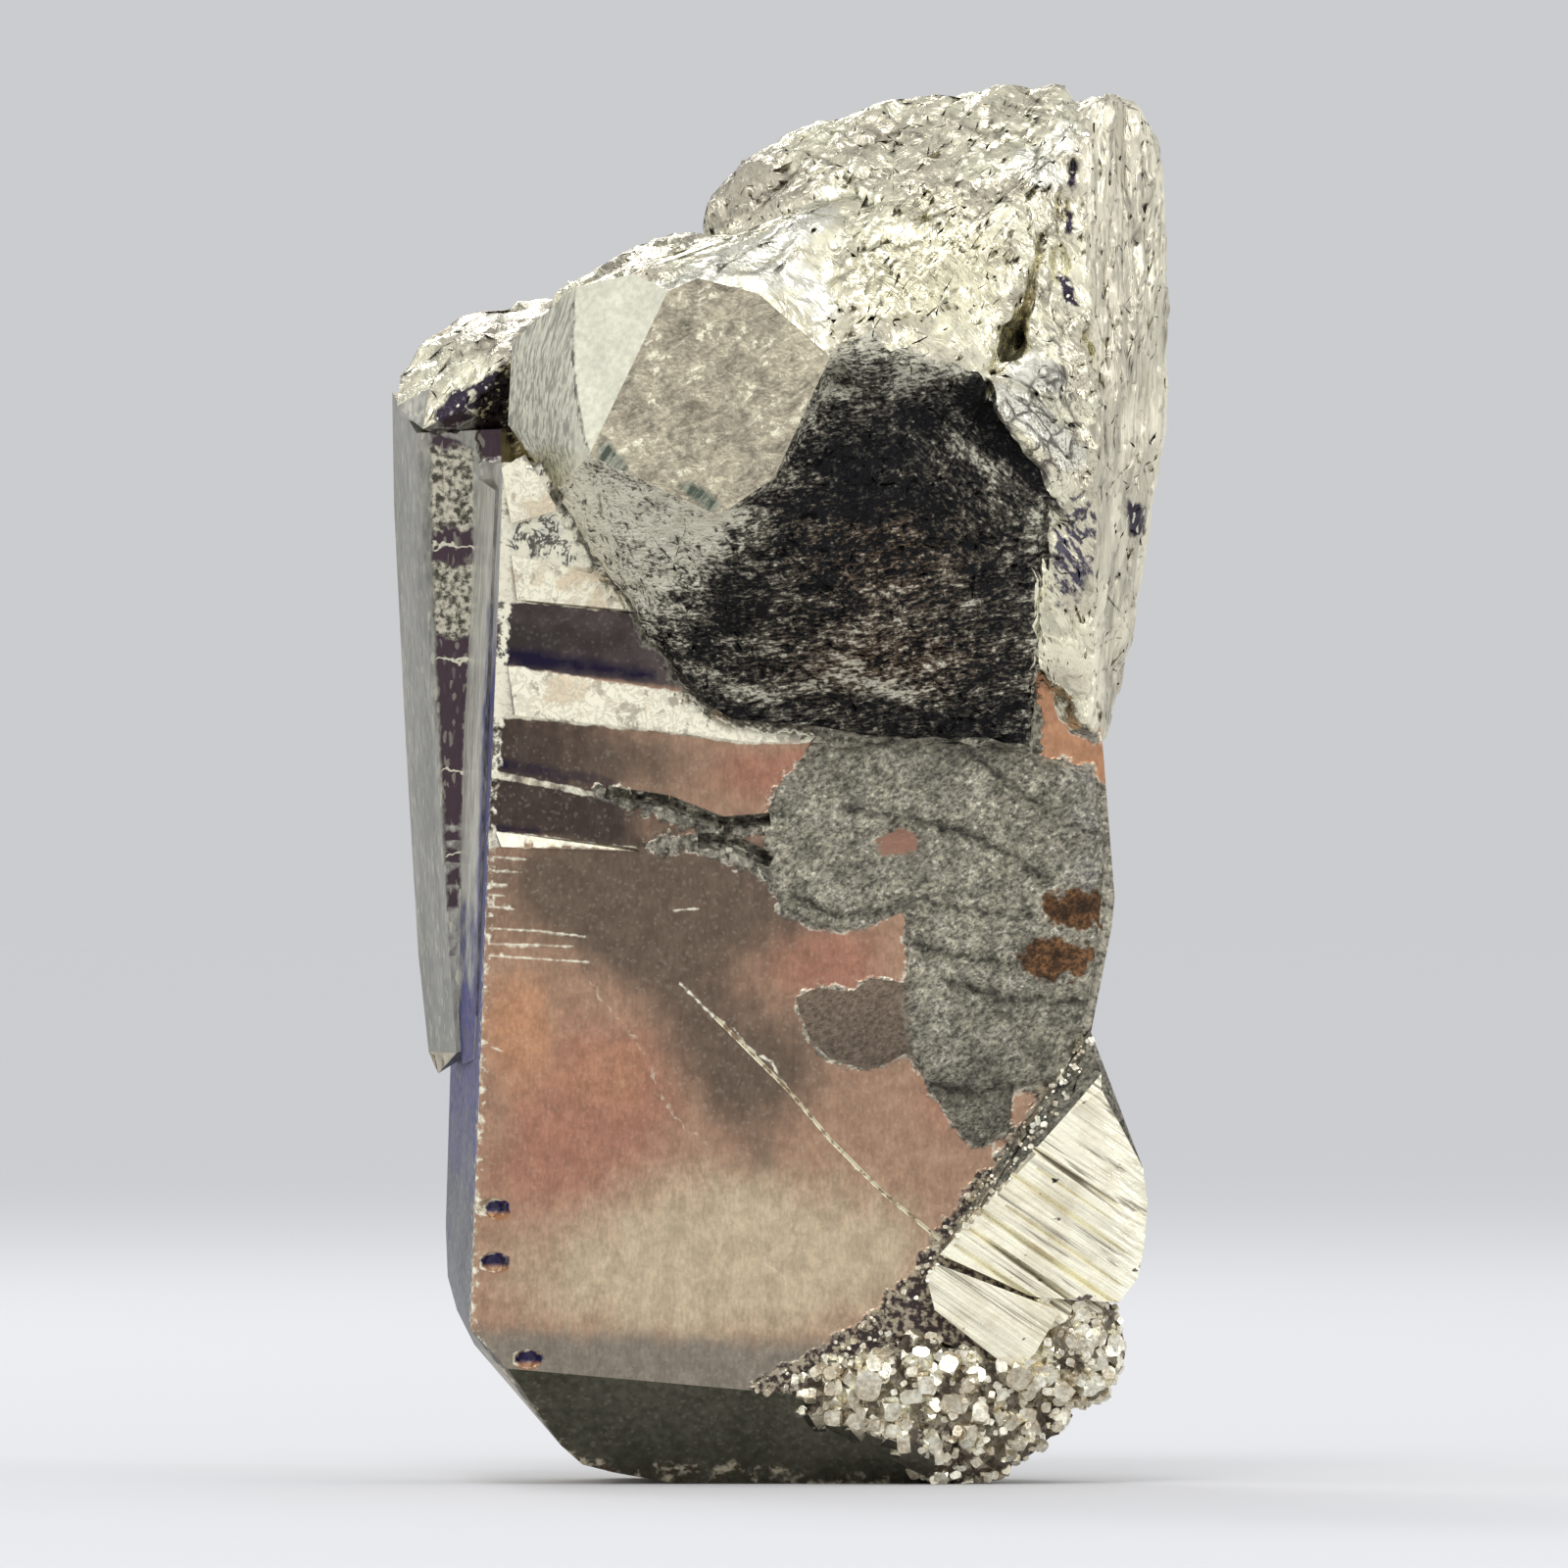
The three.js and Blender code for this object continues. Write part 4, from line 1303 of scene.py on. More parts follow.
class Effect(Enum):
    """The shared surface effects: each one's name, number inputs and outputs."""

    GRIT = ("grit", {"Size": 0.3}, ("Height", "Tone", "Sparkle"))
    CRUMPLE = ("crumple", {"Size": 0.8, "Warp": 0.4}, ("Height", "Tone"))
    VEINS = ("veins", {"Size": 1.0, "Width": 0.012}, ("Lines", "Fine", "Net"))
    DASHES = ("dashes", {"Size": 0.16}, ("Tone",))
    MARK = (
        "mark", {"Distance": 0.0, "Reach": 0.0, "Ragged": 0.1, "Soft": 0.05, "Grain": 0.4},
        ("Mask",),
    )


Sockets = dict[str, NodeSocket]


class EffectLibrary:
    """Builds each shared effect once and hands out its node group."""

    def __init__(self) -> None:
        """Starts with nothing built."""
        self._built: dict[Effect, NodeTree] = {}

    def get(self, effect: Effect) -> NodeTree:
        """The node group of an effect, with a Place vector before its number inputs.

        Args:
            effect: The effect wanted.

        Returns:
            Its group, built on first use.
        """
        if effect not in self._built:
            name, inputs, outputs = effect.value
            tree = bpy.data.node_groups.new(name, "ShaderNodeTree")
            new = tree.interface.new_socket
            new("Place", in_out="INPUT", socket_type="NodeSocketVector")
            for key, value in inputs.items():
                new(key, in_out="INPUT", socket_type="NodeSocketFloat").default_value = value
            for key in outputs:
                new(key, in_out="OUTPUT", socket_type="NodeSocketFloat")
            given = tree.nodes.new("NodeGroupInput").outputs
            out = tree.nodes.new("NodeGroupOutput").inputs
            fill = getattr(self, "_" + name)
            fill(Wires(tree), {g.name: g for g in given}, {o.name: o for o in out})
            self._built[effect] = tree
        return self._built[effect]

    def _cells(self, w: Wires, place: object, size: object) -> Node:
        """Adds a cell pattern with cells of a size in mm."""
        cells = w.add("TexVoronoi", feature="F1", voronoi_dimensions="3D")
        w.feed(cells.inputs["Vector"], place)
        w.feed(cells.inputs["Scale"], w.math("DIVIDE", 1.0, size))
        return cells

    def _grit(self, w: Wires, given: Sockets, out: Sockets) -> None:
        """Fine grains of uneven height; Sparkle marks a few of them, which the finishes paint
        bright as glints.
        """
        cells = self._cells(w, given["Place"], given["Size"])
        soft = w.noise(given["Place"], w.times(given["Size"], 2.2), 3.0, 0.62)
        tone = w.add("SeparateColor")
        w.feed(tone.inputs[0], cells.outputs["Color"])
        w.feed(out["Height"], w.total((cells.outputs["Distance"], -0.5), (soft, 1.0)))
        w.feed(out["Tone"], soft)
        w.feed(out["Sparkle"], w.span(tone.outputs[0], 0.86, 0.95))

    def _crumple(self, w: Wires, given: Sockets, out: Sockets) -> None:
        """A hackly broken surface: small flat facets that lean at odd angles."""
        swirl = w.add("TexNoise", noise_dimensions="3D")
        w.feed(swirl.inputs["Vector"], given["Place"])
        w.feed(swirl.inputs["Scale"], w.math("DIVIDE", 0.8, given["Size"]))
        swirl.inputs["Detail"].default_value = 1.0
        moved = w.vector("ADD", given["Place"], w.dim(swirl.outputs["Color"], given["Warp"]))
        cells = self._cells(w, moved, given["Size"])
        away = w.vector("SUBTRACT", moved, cells.outputs["Position"])
        lean = w.vector("SUBTRACT", cells.outputs["Color"], (0.5, 0.5, 0.5))
        tone = w.add("SeparateColor")
        w.feed(tone.inputs[0], cells.outputs["Color"])
        w.feed(out["Height"], w.vector("DOT_PRODUCT", away, lean))
        w.feed(out["Tone"], tone.outputs[1])

    def _veins(self, w: Wires, given: Sockets, out: Sockets) -> None:
        """Thin lines that wind over a surface, coarse and fine, and a net of cracks."""
        swell = w.noise(given["Place"], given["Size"], 3.0, 0.6, 1.1)
        fine = w.noise(given["Place"], w.times(given["Size"], 0.42), 2.0, 0.6, 0.8)
        for key, source, widen in (("Lines", swell, 1.0), ("Fine", fine, 1.5)):
            away = w.math("ABSOLUTE", w.math("SUBTRACT", source, 0.5))
            share = w.math("DIVIDE", away, w.times(given["Width"], widen))
            w.feed(out[key], w.span(share, 0.35, 1.0, 1.0, 0.0))
        net = w.add("TexVoronoi", feature="DISTANCE_TO_EDGE", voronoi_dimensions="3D")
        w.feed(net.inputs["Vector"], w.warp(given["Place"], 1.6, 0.5))
        w.feed(net.inputs["Scale"], w.math("DIVIDE", 1.0, given["Size"]))
        w.feed(out["Net"], w.span(net.outputs["Distance"], 0.03, 0.12, 1.0, 0.0))

    def _dashes(self, w: Wires, given: Sockets, out: Sockets) -> None:
        """Short fibres with sharp light and dark, along x of the place given."""
        flat = w.add("Mapping", vector_type="POINT")
        w.feed(flat.inputs["Vector"], given["Place"])
        flat.inputs["Scale"].default_value = (0.26, 0.8, 1.0)
        main = w.noise(flat.outputs[0], given["Size"], 3.0, 0.75)
        broad = w.noise(flat.outputs[0], w.times(given["Size"], 5.0), 1.0)
        w.feed(out["Tone"], w.total((main, 0.72), (broad, 0.28)))

    def _mark(self, w: Wires, given: Sockets, out: Sockets) -> None:
        """A marking with ragged edges, from the distance to its outline."""
        ragged = w.noise(given["Place"], given["Grain"], 2.0)
        shift = w.times(w.total((ragged, 4.0), (1.0, -2.0)), given["Ragged"])
        gap = w.math("ADD", w.math("SUBTRACT", given["Distance"], given["Reach"]), shift)
        share = w.times(w.math("DIVIDE", gap, given["Soft"]), 0.5)
        w.feed(out["Mask"], w.math("SUBTRACT", 0.5, share, clamp=True))


# Finishes


@dataclass(frozen=True)
class Ground:
    """What a finish is drawn with: its wires, shader, place and grain, and the effects."""

    w: Wires
    shader: Node
    effects: EffectLibrary
    place: NodeSocket
    grit: Sockets

    def effect(self, effect: Effect, **values: object) -> Sockets:
        """Places a shared effect and returns its outputs."""
        return self.w.group(self.effects.get(effect), **values)

    def mark(
        self, name: str, reach: object = 0.0, ragged: float = 0.06, soft: float = 0.08,
        grain: float = 0.4,
    ) -> NodeSocket:
        """The mask of one marking.

        Args:
            name: The marking's name.
            reach: How far it reaches past its outline, in mm.
            ragged: How ragged its edge is, in mm.
            soft: How soft its edge is, in mm.
            grain: The size of the edge's ragged bits, in mm.

        Returns:
            The mask, 1 inside.
        """
        return self.effect(
            Effect.MARK, Place=self.place, Distance=self.w.attribute(name), Reach=reach,
            Ragged=ragged, Soft=soft, Grain=grain,
        )["Mask"]

    def rough(self, low: float, high: float) -> NodeSocket:
        """A roughness between two values that follows the grain."""
        return self.w.span(self.grit["Tone"], 0.3, 0.7, low, high)

    def cover(
        self, colour: object, rough: object, height: object, depth: float, strength: float = 0.8
    ) -> None:
        """Feeds the shader its colour, roughness and relief.

        Args:
            colour: The colour.
            rough: The roughness.
            height: The relief.
            depth: What a height of 1 stands for, in mm.
            strength: How strongly the relief shows.
        """
        bump = self.w.add("Bump")
        bump.inputs["Strength"].default_value = strength
        bump.inputs["Distance"].default_value = depth * MM
        self.w.feed(bump.inputs["Height"], height)
        self.w.feed(self.shader.inputs["Base Color"], colour)
        self.w.feed(self.shader.inputs["Roughness"], rough)
        self.w.feed(self.shader.inputs["Normal"], bump.outputs[0])


@dataclass(frozen=True)
class Finish:
    """What every finish has: a name, and a material with one Principled shader."""

    name: str
    metallic: float = 1.0
    grain_size: float = 0.18
    stretch: Triple = (1, 1, 1)

    def build(self, effects: EffectLibrary) -> Material:
        """Builds the material.

        Args:
            effects: The shared node groups.

        Returns:
            The material.
        """
        material = bpy.data.materials.new(self.name)
        material.use_nodes = True
        w = Wires(material.node_tree)
        shader = material.node_tree.nodes["Principled BSDF"]
        shader.inputs["Metallic"].default_value = self.metallic
        place = w.place(self.stretch)
        grit = w.group(effects.get(Effect.GRIT), Place=place, Size=self.grain_size)
        self.dress(Ground(w, shader, effects, place, grit))
        return material

    def dress(self, g: Ground) -> None:
        """Wires up the finish; each kind has its own."""
        raise NotImplementedError


@dataclass(frozen=True)
class TarnishAndReflectionFace(Finish):
    """The broad smooth face: a satin mirror with a rosy tarnish, painted reflections of its
    surroundings, bands, cracks and scratches.
    """

    plain: Colour = (0.425, 0.268, 0.178)
    # Painted reflections, in part: the pink and beige patches and the dusk's grey stripe; glow is a
    # painted highlight.
    pink: Colour = (0.42, 0.21, 0.14)
    glow: Colour = (0.53, 0.28, 0.16)
    beige: Colour = (0.59, 0.475, 0.32)
    dusk: Colour = (0.165, 0.12, 0.088)
    under: Colour = (0.075, 0.056, 0.047)
    foot_grey: Colour = (0.27, 0.235, 0.185)
    cream: Colour = (0.84, 0.8, 0.63)
    dark: Colour = (0.07, 0.056, 0.053)
    blue: Colour = (0.02, 0.016, 0.036)
    rubble: Colour = (0.2, 0.185, 0.145)
    grain_size: float = 0.15

    def dress(self, g: Ground) -> None:
        """Wires up the tarnish, then the bands, the rubble at the edges and the cracks."""
        w, place, grit, mark = g.w, g.place, g.grit, g.mark
        cloud = w.noise(place, 2.8, 5.0, 0.62)
        worn = w.noise(place, 0.9, 5.0, 0.66)
        weave = w.noise(w.place((1, 1, 0.4)), 0.17, 3.0, 0.6)
        axes = w.axes(place)
        colour = self._tones(w, cloud, weave)
        colour = w.dim(colour, w.span(weave, 0.3, 0.7, 0.88, 1.1))
        colour = w.dim(colour, w.span(worn, 0.36, 0.64, 0.86, 1.1))
        # Painted glints: a few grains are painted cream.
        colour = w.mix(w.times(grit["Sparkle"], 0.07), colour, self.cream)

        veins = g.effect(Effect.VEINS, Place=place, Size=1.3, Width=0.05)
        foil = w.mix(w.span(worn, 0.5, 0.56), self.cream, (0.66, 0.64, 0.54))
        cracked = w.times(veins["Lines"], w.span(worn, 0.42, 0.5, 0.15, 0.9))
        foil = w.mix(cracked, foil, (0.06, 0.055, 0.05))
        high = w.span(axes[2], 44.7, 45.3)
        colour = w.mix(high, colour, foil)
        bands = w.dim(self.dark, w.span(cloud, 0.35, 0.65, 0.75, 1.6))
        bands = w.mix(w.times(grit["Sparkle"], 0.04), bands, self.cream)
        colour = w.mix(mark("dark_band", 0.05, 0.12, 0.14, 0.9), colour, bands)
        colour = w.mix(mark("blue_band", 0.02, 0.16, 0.25, 0.8), colour, self.blue)
        cream = w.mix(w.span(worn, 0.54, 0.62), self.cream, (0.42, 0.38, 0.3))
        cream = w.mix(w.span(cloud, 0.52, 0.62), cream, (0.68, 0.58, 0.42))
        cream = w.mix(w.times(veins["Fine"], 0.4), cream, (0.4, 0.37, 0.3))
        colour = w.mix(mark("bright_band", 0.02, 0.1, 0.05, 0.7), colour, cream)

        rubble = w.dim(self.rubble, w.span(grit["Tone"], 0.3, 0.68, 0.3, 2.1))
        rubble = w.mix(w.times(grit["Sparkle"], 0.4), rubble, self.cream)
        slope = mark("near_dark", 0.3, 0.55, 0.2, 0.7)
        colour = w.mix(slope, colour, w.dim(rubble, 0.7))
        crust = mark("near_crust", 0.12, 0.32, 0.1, 0.7)
        rim = w.math("SUBTRACT", mark("near_crust", 0.24, 0.32, 0.06, 0.7), crust, clamp=True)
        colour = w.mix(crust, colour, rubble)
        sunk = w.span(w.attribute("sunk"), 0.015, 0.05)
        fissure = mark("fissure", 0.44, 0.22, 0.08, 0.5)
        edge = w.math("SUBTRACT", mark("fissure", 0.54, 0.22, 0.05, 0.5), fissure, clamp=True)
        deep = w.times(sunk, w.span(axes[2], 30.0, 31.0))
        fissure = w.most(fissure, deep)
        rim = w.times(w.most(edge, rim), w.span(worn, 0.52, 0.57))
        colour = w.mix(fissure, colour, w.dim(rubble, w.span(worn, 0.4, 0.6, 0.35, 0.9)))
        beyond = mark("beyond", 0.25, 0.4, 0.12, 0.8)
        crumbs = w.mix(w.span(grit["Tone"], 0.44, 0.6), (0.05, 0.036, 0.034), (0.42, 0.36, 0.26))
        colour = w.mix(beyond, colour, crumbs)
        torn = w.most(w.most(beyond, fissure), w.most(crust, slope))

        crack = mark("bright_crack", 0.05, 0.08, 0.05, 0.4)
        below = w.math("SUBTRACT", sunk, w.span(axes[2], 27.0, 28.0), clamp=True)
        beads = w.span(w.noise(place, 0.45, 3.0), 0.43, 0.5, 0.3, 1.0)
        colour = w.mix(below, colour, (0.42, 0.3, 0.2))
        crack = w.times(w.most(crack, below), beads)
        faint = w.times(mark("faint_crack", 0.035, 0.05, 0.05, 0.25), 0.5)
        tick = w.times(mark("tick", 0.03, 0.05, 0.05, 0.3), w.span(worn, 0.4, 0.5, 0.4, 1.0))
        wide = w.span(axes[2], 34.0, 42.0, 0.1, 0.3)
        ragged = mark("left_edge", wide, 0.2, 0.08, 0.4)
        ragged = w.times(ragged, w.span(grit["Tone"], 0.38, 0.5, 0.15, 1.0))
        line = w.most(w.most(crack, faint), w.most(tick, ragged))
        line = w.most(line, w.times(rim, 0.8))
        colour = w.mix(line, colour, self.cream)
        colour = self._pits(g, colour)
        metal = w.total((1.0, 1.0), (line, -0.7), (torn, -0.25), (below, -0.3))
        w.feed(g.shader.inputs["Metallic"], metal)
        rough = w.most(w.span(cloud, 0.3, 0.75, 0.27, 0.4), w.times(torn, 0.55))
        height = w.total(
            (grit["Height"], 0.25), (weave, 0.6), (w.times(torn, grit["Tone"]), 9.0),
            (torn, 1.5),
        )
        g.cover(colour, rough, height, 0.02, 0.6)

    def _tones(self, w: Wires, cloud: object, weave: object) -> NodeSocket:
        """The soft patches: rosy tarnish, with painted reflections in the pink and beige patches
        and in the grey stripe of the dusk patch, and a painted highlight in the glow patches.

        Args:
            w: The material's wires.
            cloud: The broad noise that makes their edges uneven.
            weave: The fine noise in them.

        Returns:
            The colour.
        """
        colour: object = self.plain
        brushed = w.noise(w.place((1, 1, 0.16)), 0.7, 3.0, 0.6)
        uneven = w.total((cloud, 0.7), (brushed, 0.5), (weave, 0.12), (1.0, -0.66))
        for name, tint in (
            ("pink", self.pink), ("beige", self.beige), ("dusk", self.dusk), ("glow", self.glow),
            ("foot_grey", self.foot_grey), ("under", self.under),
        ):
            share = w.math("ADD", w.attribute(name), uneven)
            colour = w.mix(w.span(share, 0.1, 0.95), colour, tint)
        return colour

    def _pits(self, g: Ground, colour: object) -> NodeSocket:
        """Colours the small pits, blue above and orange below.

        Args:
            g: What they are drawn with.
            colour: The colour so far.

        Returns:
            The colour with the pits.
        """
        w = g.w
        low = w.mix(g.grit["Sparkle"], (0.4, 0.2, 0.1), (0.85, 0.66, 0.42))
        inner = w.mix(w.span(w.attribute("pit_height"), -0.3, 0.0), low, (0.02, 0.015, 0.07))
        return w.mix(g.mark("pit", 0.0, 0.16, 0.08, 0.5), colour, inner)


@dataclass(frozen=True)
class SmoothFace(Finish):
    """A smooth crystal face with cloudy colour, fine grain and a few grains painted bright as
    glints.
    """

    main: Colour = (0.3, 0.28, 0.2)
    second: Colour = (0.2, 0.18, 0.14)
    flecks: Colour = (0.8, 0.78, 0.6)
    cloud_size: float = 3.0
    grain_size: float = 0.2
    roughness: float = 0.35
    depth: float = 0.02
    glint_speckle: float = 0.15
    contrast: float = 1.0

    def dress(self, g: Ground) -> None:
        """Wires up the clouds and the grain, then the face's own markings."""
        w, grit = g.w, g.grit
        cloud = w.noise(g.place, self.cloud_size, 4.0, 0.6)
        colour = w.mix(w.span(cloud, 0.36, 0.64), self.main, self.second)
        dark, light = 1.0 - 0.28 * self.contrast, 1.0 + 0.2 * self.contrast
        colour = w.dim(colour, w.span(grit["Tone"], 0.3, 0.7, dark, light))
        # Painted glints: a few grains take the pale fleck colour.
        colour = w.mix(w.times(grit["Sparkle"], self.glint_speckle), colour, self.flecks)
        height = w.total((grit["Height"], 1.0), (cloud, 1.0))
        colour, height = self.detail(replace(g, place=w.place()), colour, height)
        rough = g.rough(self.roughness - 0.06, self.roughness + 0.08)
        g.cover(colour, rough, height, self.depth)

    def detail(self, g: Ground, colour: object, height: object) -> tuple[object, object]:
        """Adds a finish's own markings; the plain one has none.

        Args:
            g: What they are drawn with.
            colour: The colour so far.
            height: The relief so far.

        Returns:
            The colour and the relief.
        """
        return colour, height


@dataclass(frozen=True)
class BlueSide(SmoothFace):
    """The tall crystal's left side: grey with a deep blue film by the front edge."""

    film: Colour = (0.014, 0.014, 0.14)
    flank: Colour = (0.46, 0.45, 0.39)

    def detail(self, g: Ground, colour: object, height: object) -> tuple[object, object]:
        """Adds the pale flank, the blue film and the bright broken edge."""
        w, place, grit = g.w, g.place, g.grit
        axes = w.axes(place)
        uneven = w.noise(place, 3.4, 6.0, 0.62)
        level = w.total((axes[2], 1.0), (uneven, 16.0), (1.0, -8.0))
        streaks = w.span(w.noise(w.place((1, 1, 0.2)), 0.4, 4.0), 0.3, 0.7, 0.7, 1.2)
        colour = w.mix(w.span(level, 21.0, 32.0), colour, w.dim(self.flank, streaks))
        depth = w.total((axes[1], 1.0), (uneven, 3.0), (1.0, -1.5))
        front = w.span(depth, -6.4, -5.0, 1.0, 0.0)
        low = w.span(level, 25.0, 30.0, 1.0, 0.0)
        film = w.times(w.most(front, low), w.span(level, 14.0, 19.0))
        film = w.times(film, w.span(level, 38.0, 46.0, 0.95, 0.25))
        patchy = w.span(w.noise(place, 0.8, 5.0, 0.65), 0.36, 0.6)
        colour = w.mix(film, colour, w.mix(patchy, (0.03, 0.024, 0.07), self.film))
        w.feed(g.shader.inputs["Metallic"], w.span(film, 0.0, 1.0, self.metallic, 0.0))
        g.shader.inputs["Specular IOR Level"].default_value = 0.12
        edge = g.mark("left_edge", 0.1, 0.2, 0.1, 0.45)
        edge = w.times(edge, w.span(grit["Tone"], 0.38, 0.5, 0.2, 1.0))
        return w.mix(edge, colour, self.flecks), height


@dataclass(frozen=True)
class SlabFace(SmoothFace):
    """The grey slab and plate on the left, with a dark groove and torn recesses painted dark as
    shade.
    """

    cross_lines: tuple[float, ...] = (48.0, 42.1, 36.5, 32.2)

    def detail(self, g: Ground, colour: object, height: object) -> tuple[object, object]:
        """Adds the groove with its grainy patches, and the painted shade in the recesses."""
        w, place, grit = g.w, g.place, g.grit
        axes = w.axes(place)
        level = w.total((axes[2], 1.0), (w.noise(place, 0.9, 3.0), 1.6), (1.0, -0.8))
        high = w.times(w.span(level, 48.7, 49.0), w.span(level, 52.8, 53.3, 1.0, 0.0))
        low = w.times(w.span(level, 43.2, 43.5), w.span(level, 47.0, 47.3, 1.0, 0.0))
        dark = w.mix(w.times(grit["Sparkle"], 0.2), (0.075, 0.052, 0.062), self.flecks)
        grains = w.span(w.noise(place, 0.34, 5.0, 0.7), 0.4, 0.6, 0.25, 2.0)
        inner = w.mix(w.math("ADD", high, low), dark, w.dim((0.3, 0.28, 0.22), grains))
        for height_mm in self.cross_lines:
            gap = w.math("ABSOLUTE", w.math("SUBTRACT", level, height_mm))
            inner = w.mix(w.span(gap, 0.04, 0.1, 0.8, 0.0), inner, self.flecks)
        groove = g.mark("groove", 0.0, 0.08, 0.08, 0.5)
        colour = w.mix(groove, colour, inner)
        # Painted shade: the recesses are painted dark.
        recess = g.mark("recess", 0.0, 0.16, 0.1, 0.6)
        colour = w.mix(recess, colour, dark)
        return colour, w.total((height, 1.0), (groove, -2.0), (recess, -6.0))


@dataclass(frozen=True)
class PalePair(SmoothFace):
    """The pale face of the perched crystal, and beside it a face with fine hatching."""

    def detail(self, g: Ground, colour: object, height: object) -> tuple[object, object]:
        """Adds the hatching left of the dark crack."""
        w, place = g.w, g.place
        axes = w.axes(place)
        left = w.span(axes[0], -10.75, -10.35, 1.0, 0.0)
        hatch = w.noise(w.place((1, 1, 0.1), -24.0), 0.24, 2.0, 0.6, 0.3)
        shade = w.times(w.span(hatch, 0.4, 0.56, 0.75, 0.0), left)
        colour = w.mix(shade, colour, (0.24, 0.23, 0.19))
        crack = g.mark("face_crack", 0.05, 0.1, 0.06, 0.4)
        colour = w.mix(w.times(crack, 0.85), colour, (0.06, 0.05, 0.04))
        return colour, w.total((height, 1.0), (w.times(hatch, left), 5.0), (crack, -3.0))


@dataclass(frozen=True)
class TanFace(SmoothFace):
    """The perched crystal's broad tan face, mottled, dented and nicked, darker in the dents."""

    def detail(self, g: Ground, colour: object, height: object) -> tuple[object, object]:
        """Adds dents that are darker where they sink, bright crumbs and the two nicks."""
        w, grit = g.w, g.grit
        dents = w.noise(w.place((0.7, 1.0, 1.3), 35.0), 1.1, 5.0, 0.7, 0.6)
        colour = w.dim(colour, w.span(dents, 0.34, 0.52, 0.6, 1.05))
        crumbs = w.times(w.span(dents, 0.55, 0.62), w.span(grit["Tone"], 0.5, 0.56))
        colour = w.mix(w.times(crumbs, 0.75), colour, self.flecks)
        stripes = w.noise(w.place((1, 1, 0.1), -35.0), 0.3, 1.0)
        nick = w.mix(w.span(stripes, 0.44, 0.58), (0.07, 0.085, 0.065), (0.26, 0.27, 0.21))
        colour = w.mix(g.mark("notch", 0.0, 0.1, 0.16, 0.5), colour, nick)
        return colour, w.total((height, 1.0), (dents, 3.0))


@dataclass(frozen=True)
class BevelFace(SmoothFace):
    """The dark bevel at the foot, with a crumbly brown rim."""

    def detail(self, g: Ground, colour: object, height: object) -> tuple[object, object]:
        """Adds the crumbly rim."""
        w, grit = g.w, g.grit
        rim = g.mark("foot_edge", 0.25, 0.45, 0.15, 0.8)
        crumbs = w.mix(w.span(grit["Tone"], 0.4, 0.6), (0.1, 0.075, 0.05), (0.62, 0.56, 0.42))
        return w.mix(rim, colour, crumbs), w.total((height, 1.0), (rim, 3.0))


@dataclass(frozen=True)
class DullCrust(SmoothFace):
    """A dull grey crust with creases painted dark as shade, rusty patches, a brown film and a bare
    rosy spot.
    """

    rust: Colour = (0.27, 0.13, 0.05)
    bare: Colour = (0.45, 0.25, 0.17)
    film: Colour = (0.25, 0.19, 0.135)

    def detail(self, g: Ground, colour: object, height: object) -> tuple[object, object]:
        """Adds the painted shade in the creases, the rust, the film and the bare spot."""
        w, place = g.w, g.place
        grains = w.noise(w.place((0.75, 1.0, 1.15), 30.0), 0.24, 4.0, 0.78)
        lumps = w.noise(place, 1.3, 3.0, 0.6)
        colour = w.dim(colour, w.span(grains, 0.34, 0.64, 0.34, 1.75))
        colour = w.dim(colour, w.span(lumps, 0.34, 0.64, 0.66, 1.24))
        film = g.mark("brown_film", 0.2, 0.2, 0.2, 0.6)
        colour = w.mix(film, colour, w.dim(self.film, w.span(grains, 0.34, 0.66, 0.6, 1.5)))
        axes = w.axes(place)
        colour = w.dim(colour, w.span(axes[2], 18.0, 27.0, 0.55, 1.0))
        violet = w.times(w.span(axes[0], 13.0, 16.0), w.span(lumps, 0.4, 0.6))
        violet = w.times(violet, w.span(axes[2], 29.0, 31.0, 0.0, 0.22))
        colour = w.mix(violet, colour, (0.12, 0.12, 0.2))
        rust = g.mark("rust", 0.1, 0.45, 0.12, 0.7)
        tint = w.mix(w.span(grains, 0.42, 0.62), w.dim(self.rust, 0.25), self.rust)
        colour = w.mix(rust, colour, w.dim(tint, w.span(lumps, 0.36, 0.6, 0.4, 1.3)))
        bare = g.mark("bare", 0.0, 0.25, 0.08, 0.4)
        colour = w.mix(bare, colour, self.bare)
        # Painted shade: a dark line along each of the creases.
        crease = g.mark("crease", 0.08, 0.16, 0.16, 0.6)
        colour = w.mix(w.times(crease, 0.85), colour, (0.03, 0.027, 0.022))
        return colour, w.total((height, 0.6), (grains, 4.6), (lumps, 2.4))


